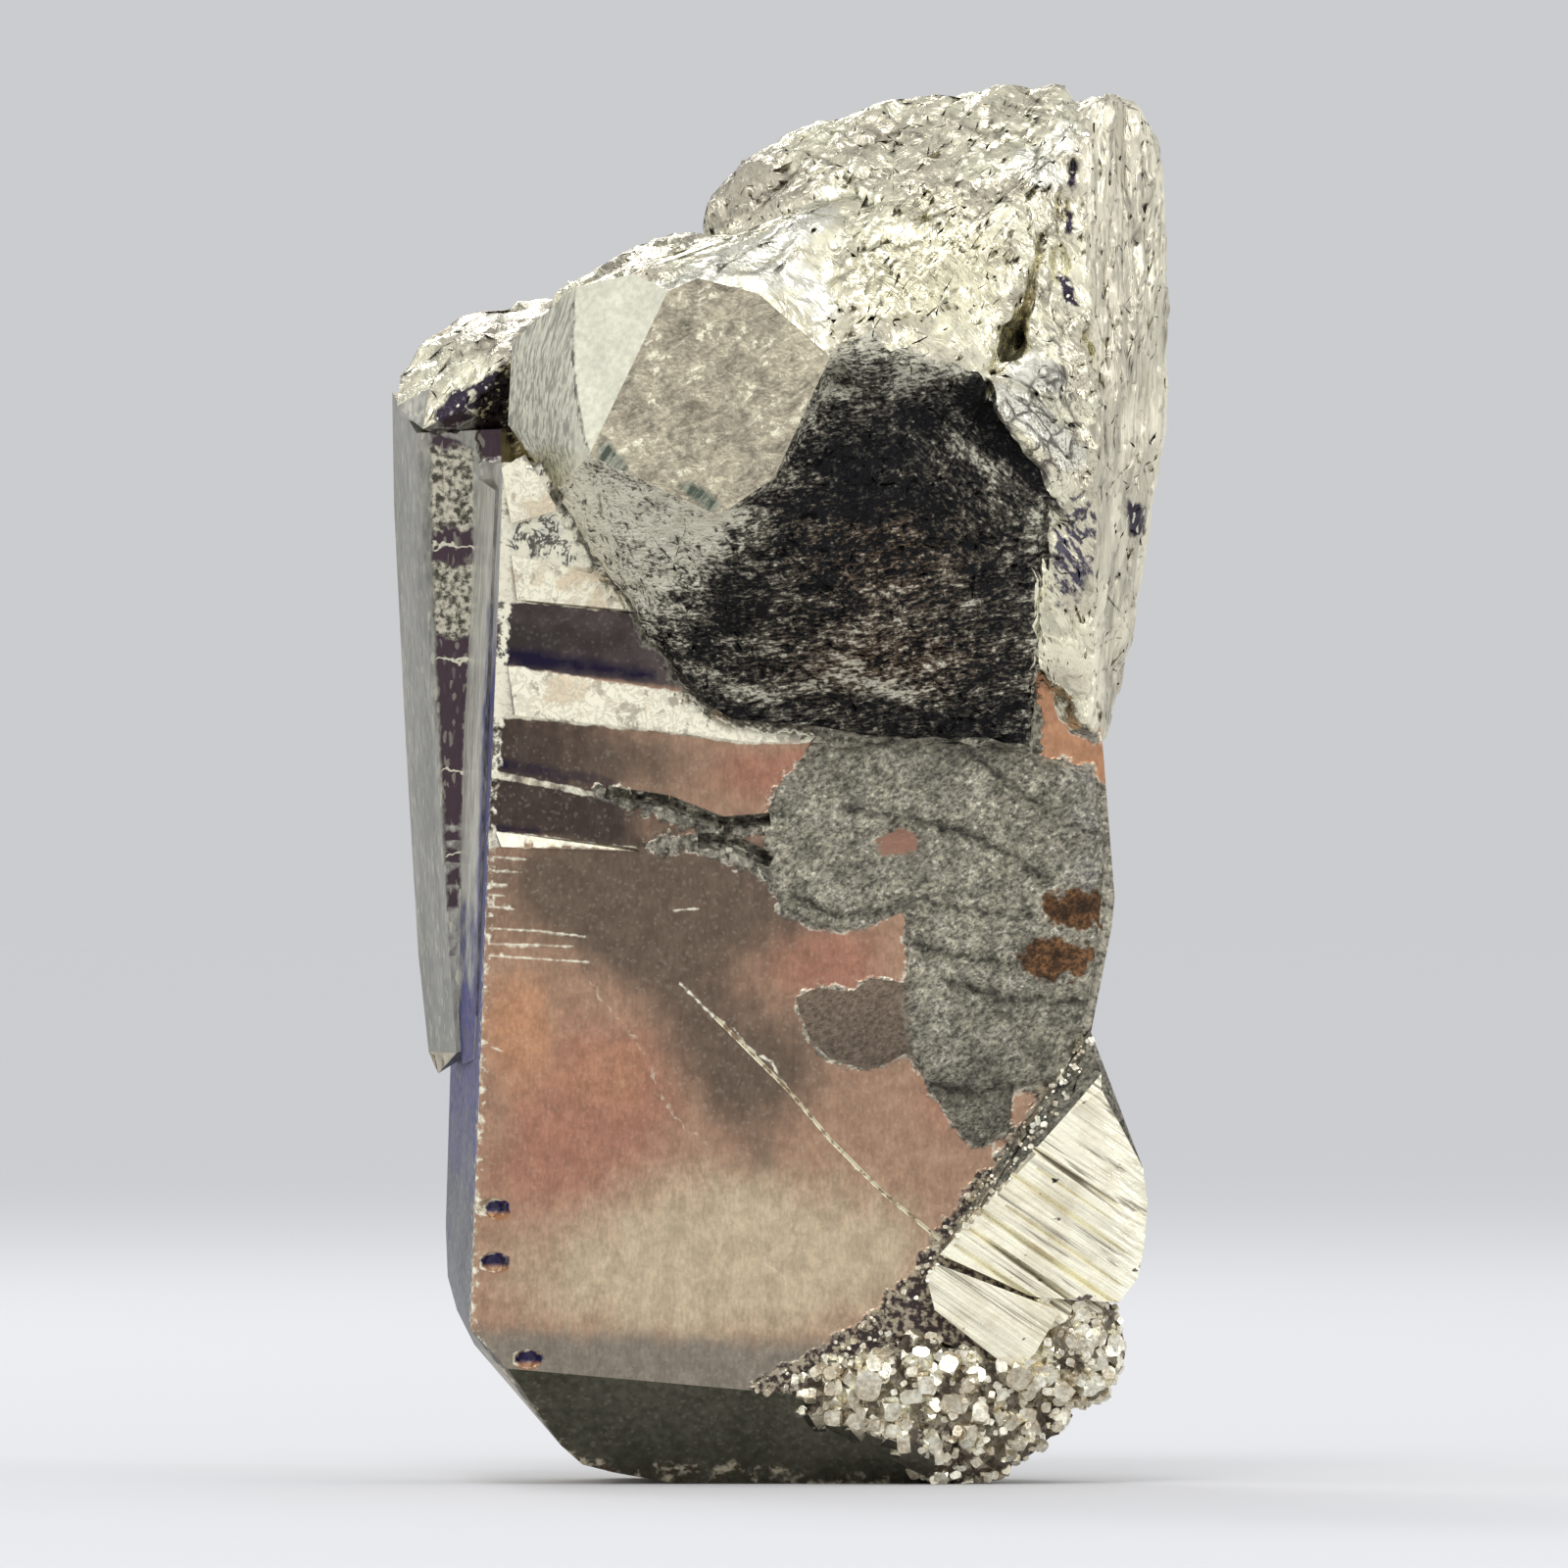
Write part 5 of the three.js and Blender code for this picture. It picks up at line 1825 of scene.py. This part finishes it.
@dataclass(frozen=True)
class Foil(Finish):
    """A bright hackly broken surface, like crumpled foil with fine winding lines."""

    main: Colour = (0.8, 0.76, 0.58)
    second: Colour = (0.62, 0.58, 0.46)
    line_colour: Colour = (0.16, 0.13, 0.095)
    flecks: Colour = (0.9, 0.88, 0.74)
    facet_size: float = 1.3
    vein_size: float = 0.8
    vein_width: float = 0.016
    swell: float = 0.2
    wrinkle_size: float = 0.62
    bend: float = 0.6
    lay: float = 38.0
    tilt: float = 0.13
    roughness: float = 0.34
    glint_speckle: float = 0.2

    def dress(self, g: Ground) -> None:
        """Wires up the facets and wrinkles, the patches, the winding lines, the folds with their
        painted shade, and painted shade on faces that point up.
        """
        w, place, grit = g.w, g.place, g.grit
        size = self.facet_size
        large = g.effect(Effect.CRUMPLE, Place=place, Size=size, Warp=size * 0.8)
        cloud = w.noise(place, 3.0, 4.0, 0.6)
        along = w.warp(w.place((0.5, 0.5, 0.5)), 2.0, self.bend)
        long = tuple(2.0 * a * b for a, b in zip(self.stretch, (1.0, 1.0, 0.3)))
        along = w.stretch(along, long, self.lay)
        wrinkles = w.noise(along, self.wrinkle_size, 3.0, 0.6, 0.6)
        veins = g.effect(
            Effect.VEINS, Place=along, Size=self.vein_size, Width=self.vein_width
        )
        tone = w.total((large["Tone"], 0.2), (cloud, 1.0))
        colour = w.mix(w.span(tone, 0.46, 0.74), self.main, self.second)
        colour = w.dim(colour, w.span(wrinkles, 0.36, 0.48, 0.7, 1.03))
        colour = self.patches(g, colour)
        veined = w.attribute("veined")
        lines = w.most(veins["Lines"], w.times(veins["Fine"], 0.75))
        share = w.span(veined, 0.2, 0.8, 0.3, 0.85)
        share = w.times(share, w.span(cloud, 0.36, 0.56, 0.35, 1.0))
        lines = w.times(lines, share)
        broken = w.span(veined, 0.75, 0.95)
        net = w.times(veins["Net"], broken)
        lines = w.most(lines, w.times(net, w.span(cloud, 0.38, 0.56, 0.2, 0.9)))
        colour = w.mix(lines, colour, w.mix(broken, self.line_colour, (0.05, 0.04, 0.035)))
        # Painted shade: a dark line under each of the folds.
        fold = g.mark("fold", 0.06, 0.12, 0.12, 0.6)
        colour = w.mix(w.times(fold, 0.85), colour, self.line_colour)
        # Painted glints: a few grains take the pale fleck colour.
        colour = w.mix(w.times(grit["Sparkle"], self.glint_speckle), colour, self.flecks)
        # Painted shade: the colour is darker on faces that point up.
        upward = w.axes(w.add("NewGeometry").outputs["Normal"])[2]
        colour = w.dim(colour, w.span(upward, 0.25, 0.8, 1.0, 0.7))
        # Painted shade: the recesses are painted dark, with a few bright grains.
        recess = g.mark("recess", 0.0, 0.16, 0.1, 0.5)
        inner = w.mix(w.times(grit["Sparkle"], 0.8), (0.045, 0.035, 0.05), self.flecks)
        colour = w.mix(recess, colour, inner)
        metal = w.span(broken, 0.0, 1.0, self.metallic, self.metallic * 0.5)
        w.feed(g.shader.inputs["Metallic"], metal)
        rough = g.rough(self.roughness - 0.08, self.roughness + 0.12)
        height = w.total((large["Height"], self.tilt), (wrinkles, self.swell))
        g.cover(colour, rough, height, 1.0)

    def patches(self, g: Ground, colour: object) -> object:
        """Adds a finish's own patches of colour; the plain one has none.

        Args:
            g: What they are drawn with.
            colour: The colour so far.

        Returns:
            The colour.
        """
        return colour


@dataclass(frozen=True)
class FrontFoil(Foil):
    """The bright broken surface of the head, with white crests painted as highlights, dull and
    violet patches.
    """

    white: Colour = (0.87, 0.85, 0.72)
    dull: Colour = (0.5, 0.46, 0.36)
    straw: Colour = (0.84, 0.79, 0.56)
    violet: Colour = (0.035, 0.03, 0.08)

    def patches(self, g: Ground, colour: object) -> object:
        """Adds the straw and dull patches, the painted highlights on the white crests, and the
        violet patches.
        """
        w, place = g.w, g.place
        uneven = w.total((w.noise(place, 0.9, 4.0, 0.65), 1.4), (1.0, -0.7))
        # white is a painted highlight on the crests.
        for name, tint in (("straw", self.straw), ("dull", self.dull), ("white", self.white)):
            share = w.math("ADD", w.attribute(name), uneven)
            colour = w.mix(w.span(share, 0.3, 0.8), colour, tint)
        stain = g.mark("violet", -0.2, 0.7, 0.3, 0.5)
        streaks = w.noise(w.place((1, 1, 0.3), 35.0), 0.5, 4.0, 0.65)
        stain = w.times(stain, w.span(streaks, 0.46, 0.54))
        return w.mix(w.times(stain, 0.92), colour, self.violet)


@dataclass(frozen=True)
class DarkSlope(Finish):
    """The dark fibrous slope under the head, greyer and grainier to its left."""

    black: Colour = (0.008, 0.008, 0.009)
    mid: Colour = (0.1, 0.092, 0.072)
    brown: Colour = (0.13, 0.088, 0.055)
    pale: Colour = (0.72, 0.69, 0.56)
    grain_size: float = 0.16

    def dress(self, g: Ground) -> None:
        """Wires up the fibres, level or steep, how light and brown they are with painted shade
        under the overhang, and the painted shadow along the slope's lower edge.
        """
        w, place, grit = g.w, g.place, g.grit
        level = g.effect(Effect.DASHES, Place=w.place(tilt=8.0), Size=0.17)
        steep = g.effect(Effect.DASHES, Place=w.place(tilt=-42.0), Size=0.17)
        flow = w.attribute("slope_flow")
        tone = w.add("Mix", data_type="FLOAT")
        for index, value in ((0, flow), (2, level["Tone"]), (3, steep["Tone"])):
            w.feed(tone.inputs[index], value)
        # The slope's tone field carries painted shade under the overhang.
        value = w.total(
            (tone.outputs[0], 4.6), (w.noise(place, 1.6, 3.0), 1.0), (grit["Tone"], 1.7),
            (w.attribute("slope_light"), 0.8), (1.0, -3.61),
        )
        mid = w.mix(w.attribute("slope_brown"), self.mid, self.brown)
        colour = w.mix(w.span(value, 0.0, 0.5), self.black, mid)
        colour = w.mix(w.span(value, 0.45, 1.15), colour, self.pale)
        sparkle = w.times(grit["Sparkle"], w.span(value, 0.1, 0.6, 0.05, 0.5))
        colour = w.mix(sparkle, colour, self.pale)
        # Painted shadow: a dark line along the slope's lower edge.
        lip = g.mark("lip", 0.12, 0.12, 0.25, 0.7)
        colour = w.mix(w.times(lip, 0.9), colour, self.black)
        height = w.total(
            (tone.outputs[0], 3.0), (grit["Height"], 0.8), (w.noise(place, 1.2, 4.0), 3.0)
        )
        g.cover(colour, g.rough(0.36, 0.55), height, 0.12, 0.9)


@dataclass(frozen=True)
class StriatedFace(Finish):
    """A bright face with fine growth lines that fall to the right, gathered in bundles."""

    main: Colour = (0.95, 0.91, 0.72)
    second: Colour = (0.8, 0.74, 0.56)
    lines: Colour = (0.26, 0.22, 0.16)
    fall_degrees: float = 34.6

    def dress(self, g: Ground) -> None:
        """Wires up the stripes, their bundles and a few nicks."""
        w, place = g.w, g.place
        across = w.place((0.014, 0.3, 1.0), -self.fall_degrees)
        stripes = w.noise(across, 0.3, 2.0, 0.6, 0.1)
        bundles = w.noise(across, 1.9, 1.0, 0.5)
        cloud = w.noise(place, 2.0, 5.0, 0.62)
        tone = w.total((stripes, 1.0), (bundles, 0.75))
        share = w.span(tone, 0.64, 0.78, 0.85, 0.0)
        colour = w.mix(w.span(cloud, 0.44, 0.66), self.main, self.second)
        colour = w.dim(colour, w.span(stripes, 0.36, 0.56, 0.84, 1.08))
        colour = w.mix(share, colour, self.lines)
        nick = w.span(w.noise(w.place((1, 1, 1.6), 30.0), 1.5, 3.0, 0.6), 0.66, 0.7)
        colour = w.mix(nick, colour, (0.12, 0.1, 0.08))
        height = w.total((stripes, 2.4), (share, -0.8), (g.grit["Height"], 0.35), (cloud, 1.5))
        g.cover(colour, g.rough(0.24, 0.42), height, 0.07)


class FinishBook:
    """Holds the finish of every zone and builds their materials in slot order."""

    def __init__(self) -> None:
        """Lists the finishes."""
        self.effects = EffectLibrary()
        self.grains = SmoothFace(
            "crystal_grains", metallic=0.8, main=(0.95, 0.92, 0.77), second=(0.6, 0.52, 0.38),
            flecks=(1.0, 0.98, 0.88), cloud_size=1.2, grain_size=0.12, roughness=0.24,
            depth=0.01, glint_speckle=0.4,
        )
        self.finishes: dict[Zone, Finish] = {
            Zone.FACE: TarnishAndReflectionFace("tarnished_face"),
            Zone.BEVEL: BevelFace(
                "bevel_face", main=(0.085, 0.082, 0.058), second=(0.12, 0.115, 0.085),
                cloud_size=5.0, roughness=0.36, glint_speckle=0.06, depth=0.01,
            ),
            Zone.SIDE: BlueSide(
                "blue_side", metallic=0.3, main=(0.1, 0.1, 0.11), second=(0.055, 0.055, 0.065),
                roughness=0.36,
            ),
            Zone.PLATE: SlabFace(
                "grey_slab", main=(0.36, 0.35, 0.31), second=(0.26, 0.255, 0.225),
                roughness=0.4, grain_size=0.16, stretch=(1.0, 1.0, 0.35), glint_speckle=0.3,
            ),
            Zone.TAN: TanFace(
                "tan_face", metallic=0.85, main=(0.42, 0.375, 0.275), second=(0.31, 0.275, 0.205),
                cloud_size=1.8, grain_size=0.2, roughness=0.46, depth=0.05, glint_speckle=0.2,
            ),
            Zone.PALE: PalePair(
                "pale_face", main=(0.73, 0.72, 0.58), second=(0.64, 0.63, 0.51),
                cloud_size=2.6, grain_size=0.16, roughness=0.36, depth=0.012, glint_speckle=0.1,
                contrast=0.4,
            ),
            Zone.CRUST: DullCrust(
                "dull_crust", metallic=0.35, main=(0.38, 0.355, 0.275), second=(0.3, 0.28, 0.21),
                cloud_size=1.4, grain_size=0.15, roughness=0.5, depth=0.13, glint_speckle=0.45,
                flecks=(0.75, 0.72, 0.6),
            ),
            Zone.STRIATED: StriatedFace("striated_face", metallic=0.4),
            Zone.DRUSE: Foil(
                "fine_crystals", main=(0.3, 0.26, 0.19), second=(0.06, 0.045, 0.035),
                facet_size=0.5, vein_width=0.05, tilt=0.6, roughness=0.32,
            ),
            Zone.BROKEN: FrontFoil(
                "broken_bright", main=(0.9, 0.86, 0.65), second=(0.7, 0.65, 0.5),
                facet_size=2.0, vein_width=0.02, roughness=0.27,
            ),
            Zone.DARK: DarkSlope("dark_slope", metallic=0.8),
            Zone.RIDGE: Foil(
                "ridge", metallic=0.85, main=(0.9, 0.85, 0.67), second=(0.6, 0.56, 0.44),
                facet_size=0.9, stretch=(1.0, 1.0, 0.4), lay=0.0, bend=0.15, roughness=0.36,
                vein_width=0.007,
            ),
            Zone.PLAIN: SmoothFace(
                "plain_face", main=(0.55, 0.5, 0.36), second=(0.42, 0.37, 0.265),
                roughness=0.34, glint_speckle=0.2, grain_size=0.26, cloud_size=4.0, depth=0.04,
            ),
            Zone.BACK: Foil(
                "broken_back", main=(0.56, 0.51, 0.38), second=(0.36, 0.32, 0.24),
                facet_size=1.6, tilt=0.42, roughness=0.4, vein_width=0.01,
            ),
        }

    def build(self) -> list[Material]:
        """Builds every material.

        Returns:
            The materials in the order of the zones.
        """
        return [self.finishes[zone].build(self.effects) for zone in Zone]


# The pieces


@dataclass
class CrystalSkin:
    """The cluster's whole surface, which stands for the solid."""

    front: FrontMap
    relief: Relief
    name: str = "crystal_skin"

    def build(self, node: Object, book: FinishBook) -> Object:
        """Builds and dresses the surface.

        Args:
            node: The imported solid.
            book: The finishes.

        Returns:
            The surface's object.
        """
        solid = SolidFacets()
        solid.read(node)
        solid.group()
        ZonePlan(self.front).sort(solid)
        mesher = SkinMesher(solid, traces=self._traces())
        mesher.build()
        relief = self.relief
        relief.load(mesher)
        relief.shape()
        made = self._mesh(relief)
        for material in book.build():
            made.data.materials.append(material)
        made.data.polygons.foreach_set("material_index", relief.zones.astype(np.int32))
        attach(made, "root")
        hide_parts(NODE)
        LOG.info("%s: %d faces from %d flat faces", self.name, len(relief.faces), len(solid.facets))
        return made

    def _traces(self) -> dict[Zone, Array]:
        """The points that each zone's markings run through."""
        front = self.front
        bands = front.dark_bands + front.blue_bands + front.bright_bands
        winding = trace(front.fissure + front.faint_cracks)
        on_face = [
            trace(bands, closed=True),
            2 * winding - wander(winding),
            trace((*front.ticks, front.bright_crack)),
            trace((front.beyond_seam[:10],)),
        ]
        crust = [trace(front.creases), trace((front.bare_in_crust,), closed=True)]
        return {
            Zone.FACE: np.vstack(on_face),
            Zone.CRUST: np.vstack(crust),
            Zone.TAN: trace(front.notches, closed=True, step=0.12),
            Zone.PALE: trace((front.face_crack,)),
            Zone.PLATE: trace((front.groove,), closed=True),
        }

    def _mesh(self, relief: Relief) -> Object:
        """Makes the mesh, its markings and its smooth or flat shading.

        Args:
            relief: The shaped surface.

        Returns:
            The new object.
        """
        mesh = bpy.data.meshes.new(self.name)
        places = (relief.points - ROW_SHIFT) * MM
        mesh.vertices.add(len(places))
        mesh.vertices.foreach_set("co", places.astype(np.float32).ravel())
        corners = relief.faces.astype(np.int32).ravel()
        mesh.loops.add(len(corners))
        mesh.loops.foreach_set("vertex_index", corners)
        mesh.polygons.add(len(relief.faces))
        mesh.polygons.foreach_set("loop_start", np.arange(0, len(corners), 3, dtype=np.int32))
        rough = np.isin(relief.zones, [z.value for z in ROUGH_ZONES])
        mesh.polygons.foreach_set("use_smooth", rough)
        mesh.update(calc_edges=True)
        for name, values in Markings(self.front, relief).fields().items():
            layer = mesh.attributes.new(name, "FLOAT", "POINT")
            layer.data.foreach_set("value", values.astype(np.float32))
        return add_object(self.name, mesh)


@dataclass
class DruseGrains:
    """Tiny blocky crystals, hundreds on the lumps at the lower right and more along the seam."""

    front: FrontMap
    relief: Relief
    name: str = "druse_grains"
    on_lumps: int = 560
    on_seam: int = 190
    lump_sizes: tuple[float, float] = (0.16, 0.46)
    seam_sizes: tuple[float, float] = (0.07, 0.17)
    gap_fill: tuple[Triple, ...] = (
        (12.5, 6.2, 0.9), (12.1, 6.9, 0.7), (12.9, 6.7, 0.6), (11.9, 5.7, 0.7), (13.1, 5.8, 0.6),
        (4.2, 5.2, 0.7), (3.3, 4.6, 0.5), (4.9, 5.8, 0.45), (6.6, 4.6, 0.5), (7.6, 2.2, 0.5),
        (13.2, 9.5, 0.3),
    )
    disorder: float = 0.42
    seed: int = 11

    def build(self, book: FinishBook) -> Object:
        """Builds and dresses the crystals.

        Args:
            book: The finishes.

        Returns:
            Their object.
        """
        rng = np.random.default_rng(self.seed)
        relief = self.relief
        normals = relief.normals()
        lumps = np.unique(relief.faces[relief.zones == Zone.DRUSE.value])
        lumps = lumps[normals[lumps, 1] < 0.3]
        at = relief.points[:, [0, 2]]
        near = segment_distance(at, self.front.seam) + rng.uniform(0, 0.5, len(at))
        seam = np.flatnonzero((near < 0.75) & (normals[:, 1] < -0.2))
        spots, sizes = [], []
        for pool, count, (low, high) in (
            (lumps, self.on_lumps, self.lump_sizes), (seam, self.on_seam, self.seam_sizes),
        ):
            chosen = rng.choice(pool, min(count, len(pool)), replace=False)
            size = low + (high - low) * rng.random(len(chosen)) ** 2.2
            spots.append(relief.points[chosen] - normals[chosen] * size[:, None] * 0.15)
            sizes.append(size)
        for x, z, size in self.gap_fill:
            close = np.argsort(np.hypot(at[:, 0] - x, at[:, 1] - z))[:30]
            spots.append(np.array([[x, float(np.median(relief.points[close, 1])), z]]))
            sizes.append(np.array([size]))
        made = self._mesh(np.vstack(spots), np.concatenate(sizes), rng)
        made.data.materials.append(book.grains.build(book.effects))
        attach(made, "root")
        LOG.info("%s: %d faces", self.name, len(made.data.polygons))
        return made

    def _block(self) -> tuple[Array, Array]:
        """One cube with its corners cut off.

        Returns:
            Its corners and its triangles.
        """
        shape = bmesh.new()
        for flat in range(3):
            for signs in np.ndindex(2, 2, 2):
                corner = [1.0 - 2.0 * sign for sign in signs]
                corner[flat] *= 0.5
                shape.verts.new(corner)
        bmesh.ops.convex_hull(shape, input=list(shape.verts))
        bmesh.ops.recalc_face_normals(shape, faces=list(shape.faces))
        shape.verts.index_update()
        corners = np.array([v.co[:] for v in shape.verts])
        faces = np.array([[v.index for v in f.verts] for f in shape.faces])
        shape.free()
        return corners, faces

    def _mesh(self, spots: Array, sizes: Array, rng: np.random.Generator) -> Object:
        """Sets a block, turned at random, on every spot.

        Args:
            spots: The blocks' middles, in mm.
            sizes: Their half sizes, in mm.
            rng: The source of their turns.

        Returns:
            The new object.
        """
        corners, faces = self._block()
        points, tris = [], []
        for k, (spot, size) in enumerate(zip(spots, sizes)):
            turn, _ = np.linalg.qr(np.eye(3) + self.disorder * rng.normal(size=(3, 3)))
            turn *= np.sign(np.linalg.det(turn))
            points.append((corners * size * rng.uniform(0.7, 1.2, 3)) @ turn.T + spot)
            tris.append(faces + k * len(corners))
        places = np.vstack(points) - ROW_SHIFT
        places[:, 2] = np.maximum(places[:, 2], 0.0)
        mesh = bpy.data.meshes.new(self.name)
        mesh.from_pydata((places * MM).tolist(), [], np.vstack(tris).tolist())
        return add_object(self.name, mesh)


@dataclass
class Studio:
    """The plain pale floor, the soft lights, the surroundings and the camera."""

    camera_gap: float = 1.333
    lens: float = 600.0
    look_x: float = 0.11
    look_z: float = 35.8
    floor_size: float = 9.0
    backdrop: tuple[float, float, float, float] = (0.597, 0.602, 0.62, 1.0)
    room_dim: float = 0.42
    room_glows: tuple[tuple[Triple, float, float], ...] = (
        ((-0.25, -0.9, 0.3), 0.0, 0.62),
        ((0.0, 0.0, 1.0), 0.1, 0.35),
        ((0.6, 0.75, 0.3), 0.3, 0.5),
        ((-0.9, 0.4, 0.15), 0.5, 0.4),
    )

    def build(self) -> None:
        """Sets everything up."""
        self._floor()
        self._surroundings()
        self._lights()
        self._camera()
        LOG.info("studio: floor, surroundings, lights and camera")

    def _floor(self) -> None:
        """Lays the floor."""
        half = self.floor_size / 2
        mesh = bpy.data.meshes.new("floor")
        corners = [(-half, -half, 0), (half, -half, 0), (half, half, 0), (-half, half, 0)]
        mesh.from_pydata(corners, [], [(0, 1, 2, 3)])
        made = add_object("floor", mesh)
        material = bpy.data.materials.new("floor")
        material.use_nodes = True
        shader = material.node_tree.nodes["Principled BSDF"]
        shader.inputs["Base Color"].default_value = (0.6, 0.6, 0.61, 1)
        shader.inputs["Roughness"].default_value = 0.9
        shader.inputs["Specular IOR Level"].default_value = 0.1
        mesh.materials.append(material)

    def _surroundings(self) -> None:
        """A pale backdrop to look at, and a soft room to be reflected, brightest in front."""
        world = bpy.data.worlds.new("studio")
        bpy.context.scene.world = world
        world.use_nodes = True
        w = Wires(world.node_tree)
        nodes = world.node_tree.nodes
        backdrop = nodes["Background"]
        where = w.add("TexCoord")
        strength: object = self.room_dim
        for aim, low, gain in self.room_glows:
            towards = w.vector(
                "DOT_PRODUCT", where.outputs["Generated"], tuple(Vector(aim).normalized())
            )
            glow = w.span(towards, low, 1.0, 0.0, gain)
            strength = w.math("ADD", glow, strength)
        room = w.add("Background")
        room.inputs[0].default_value = (0.97, 0.98, 1.0, 1)
        w.feed(room.inputs[1], strength)
        backdrop.inputs[0].default_value = self.backdrop
        backdrop.inputs[1].default_value = 1.0
        path = w.add("LightPath")
        mix = w.add("MixShader")
        w.feed(mix.inputs[0], path.outputs["Is Camera Ray"])
        w.feed(mix.inputs[1], room.outputs[0])
        w.feed(mix.inputs[2], backdrop.outputs[0])
        w.feed(nodes["World Output"].inputs[0], mix.outputs[0])

    def _light(self, name: str, at: Triple, size: tuple[float, float], power: float) -> None:
        """Adds one soft box that faces the cluster.

        Args:
            name: The light's name.
            at: Its place, in metres.
            size: Its width and height, in metres.
            power: Its power, in watts.
        """
        data = bpy.data.lights.new(name, "AREA")
        data.shape = "RECTANGLE"
        data.size, data.size_y = size
        data.energy = power
        made = add_object(name, data)
        made.location = at
        aim = Vector((0, 0, 0.036)) - Vector(at)
        made.rotation_mode = "QUATERNION"
        made.rotation_quaternion = aim.to_track_quat("-Z", "Y")
        made.visible_camera = False

    def _lights(self) -> None:
        """Places the soft boxes."""
        self._light("key", (-0.08, -0.42, 0.64), (0.2, 0.2), 1.2)
        self._light("right", (0.6, -0.3, 0.26), (0.12, 0.36), 0.8)
        self._light("left", (-0.62, -0.12, 0.1), (0.1, 0.3), 0.5)
        self._light("back", (-0.2, 0.5, 0.5), (0.25, 0.2), 1.2)

    def _camera(self) -> None:
        """Places the camera straight in front, level with the cluster's middle."""
        data = bpy.data.cameras.new("camera")
        data.sensor_width = 36.0
        data.lens = self.lens
        data.clip_start = 0.05
        data.clip_end = 20.0
        made = add_object("camera", data)
        made.location = (self.look_x * MM, -self.camera_gap - 0.008, self.look_z * MM)
        made.rotation_euler = (math.radians(90), 0, 0)
        bpy.context.scene.camera = made
        bpy.context.scene.view_settings.view_transform = "Standard"


def write_sizes() -> None:
    """Updates the view layer.
    """
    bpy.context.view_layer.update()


def main() -> None:
    """Loads the solid, dresses it and sets up the studio."""
    logging.basicConfig(level=logging.INFO, format="%(name)s %(message)s")
    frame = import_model()
    Studio().build()
    front, book = FrontMap(), FinishBook()
    relief = Relief(front.creases)
    CrystalSkin(front, relief).build(frame["nodes"][NODE], book)
    DruseGrains(front, relief).build(book)
    write_sizes()


if __name__ == "__main__":
    main()
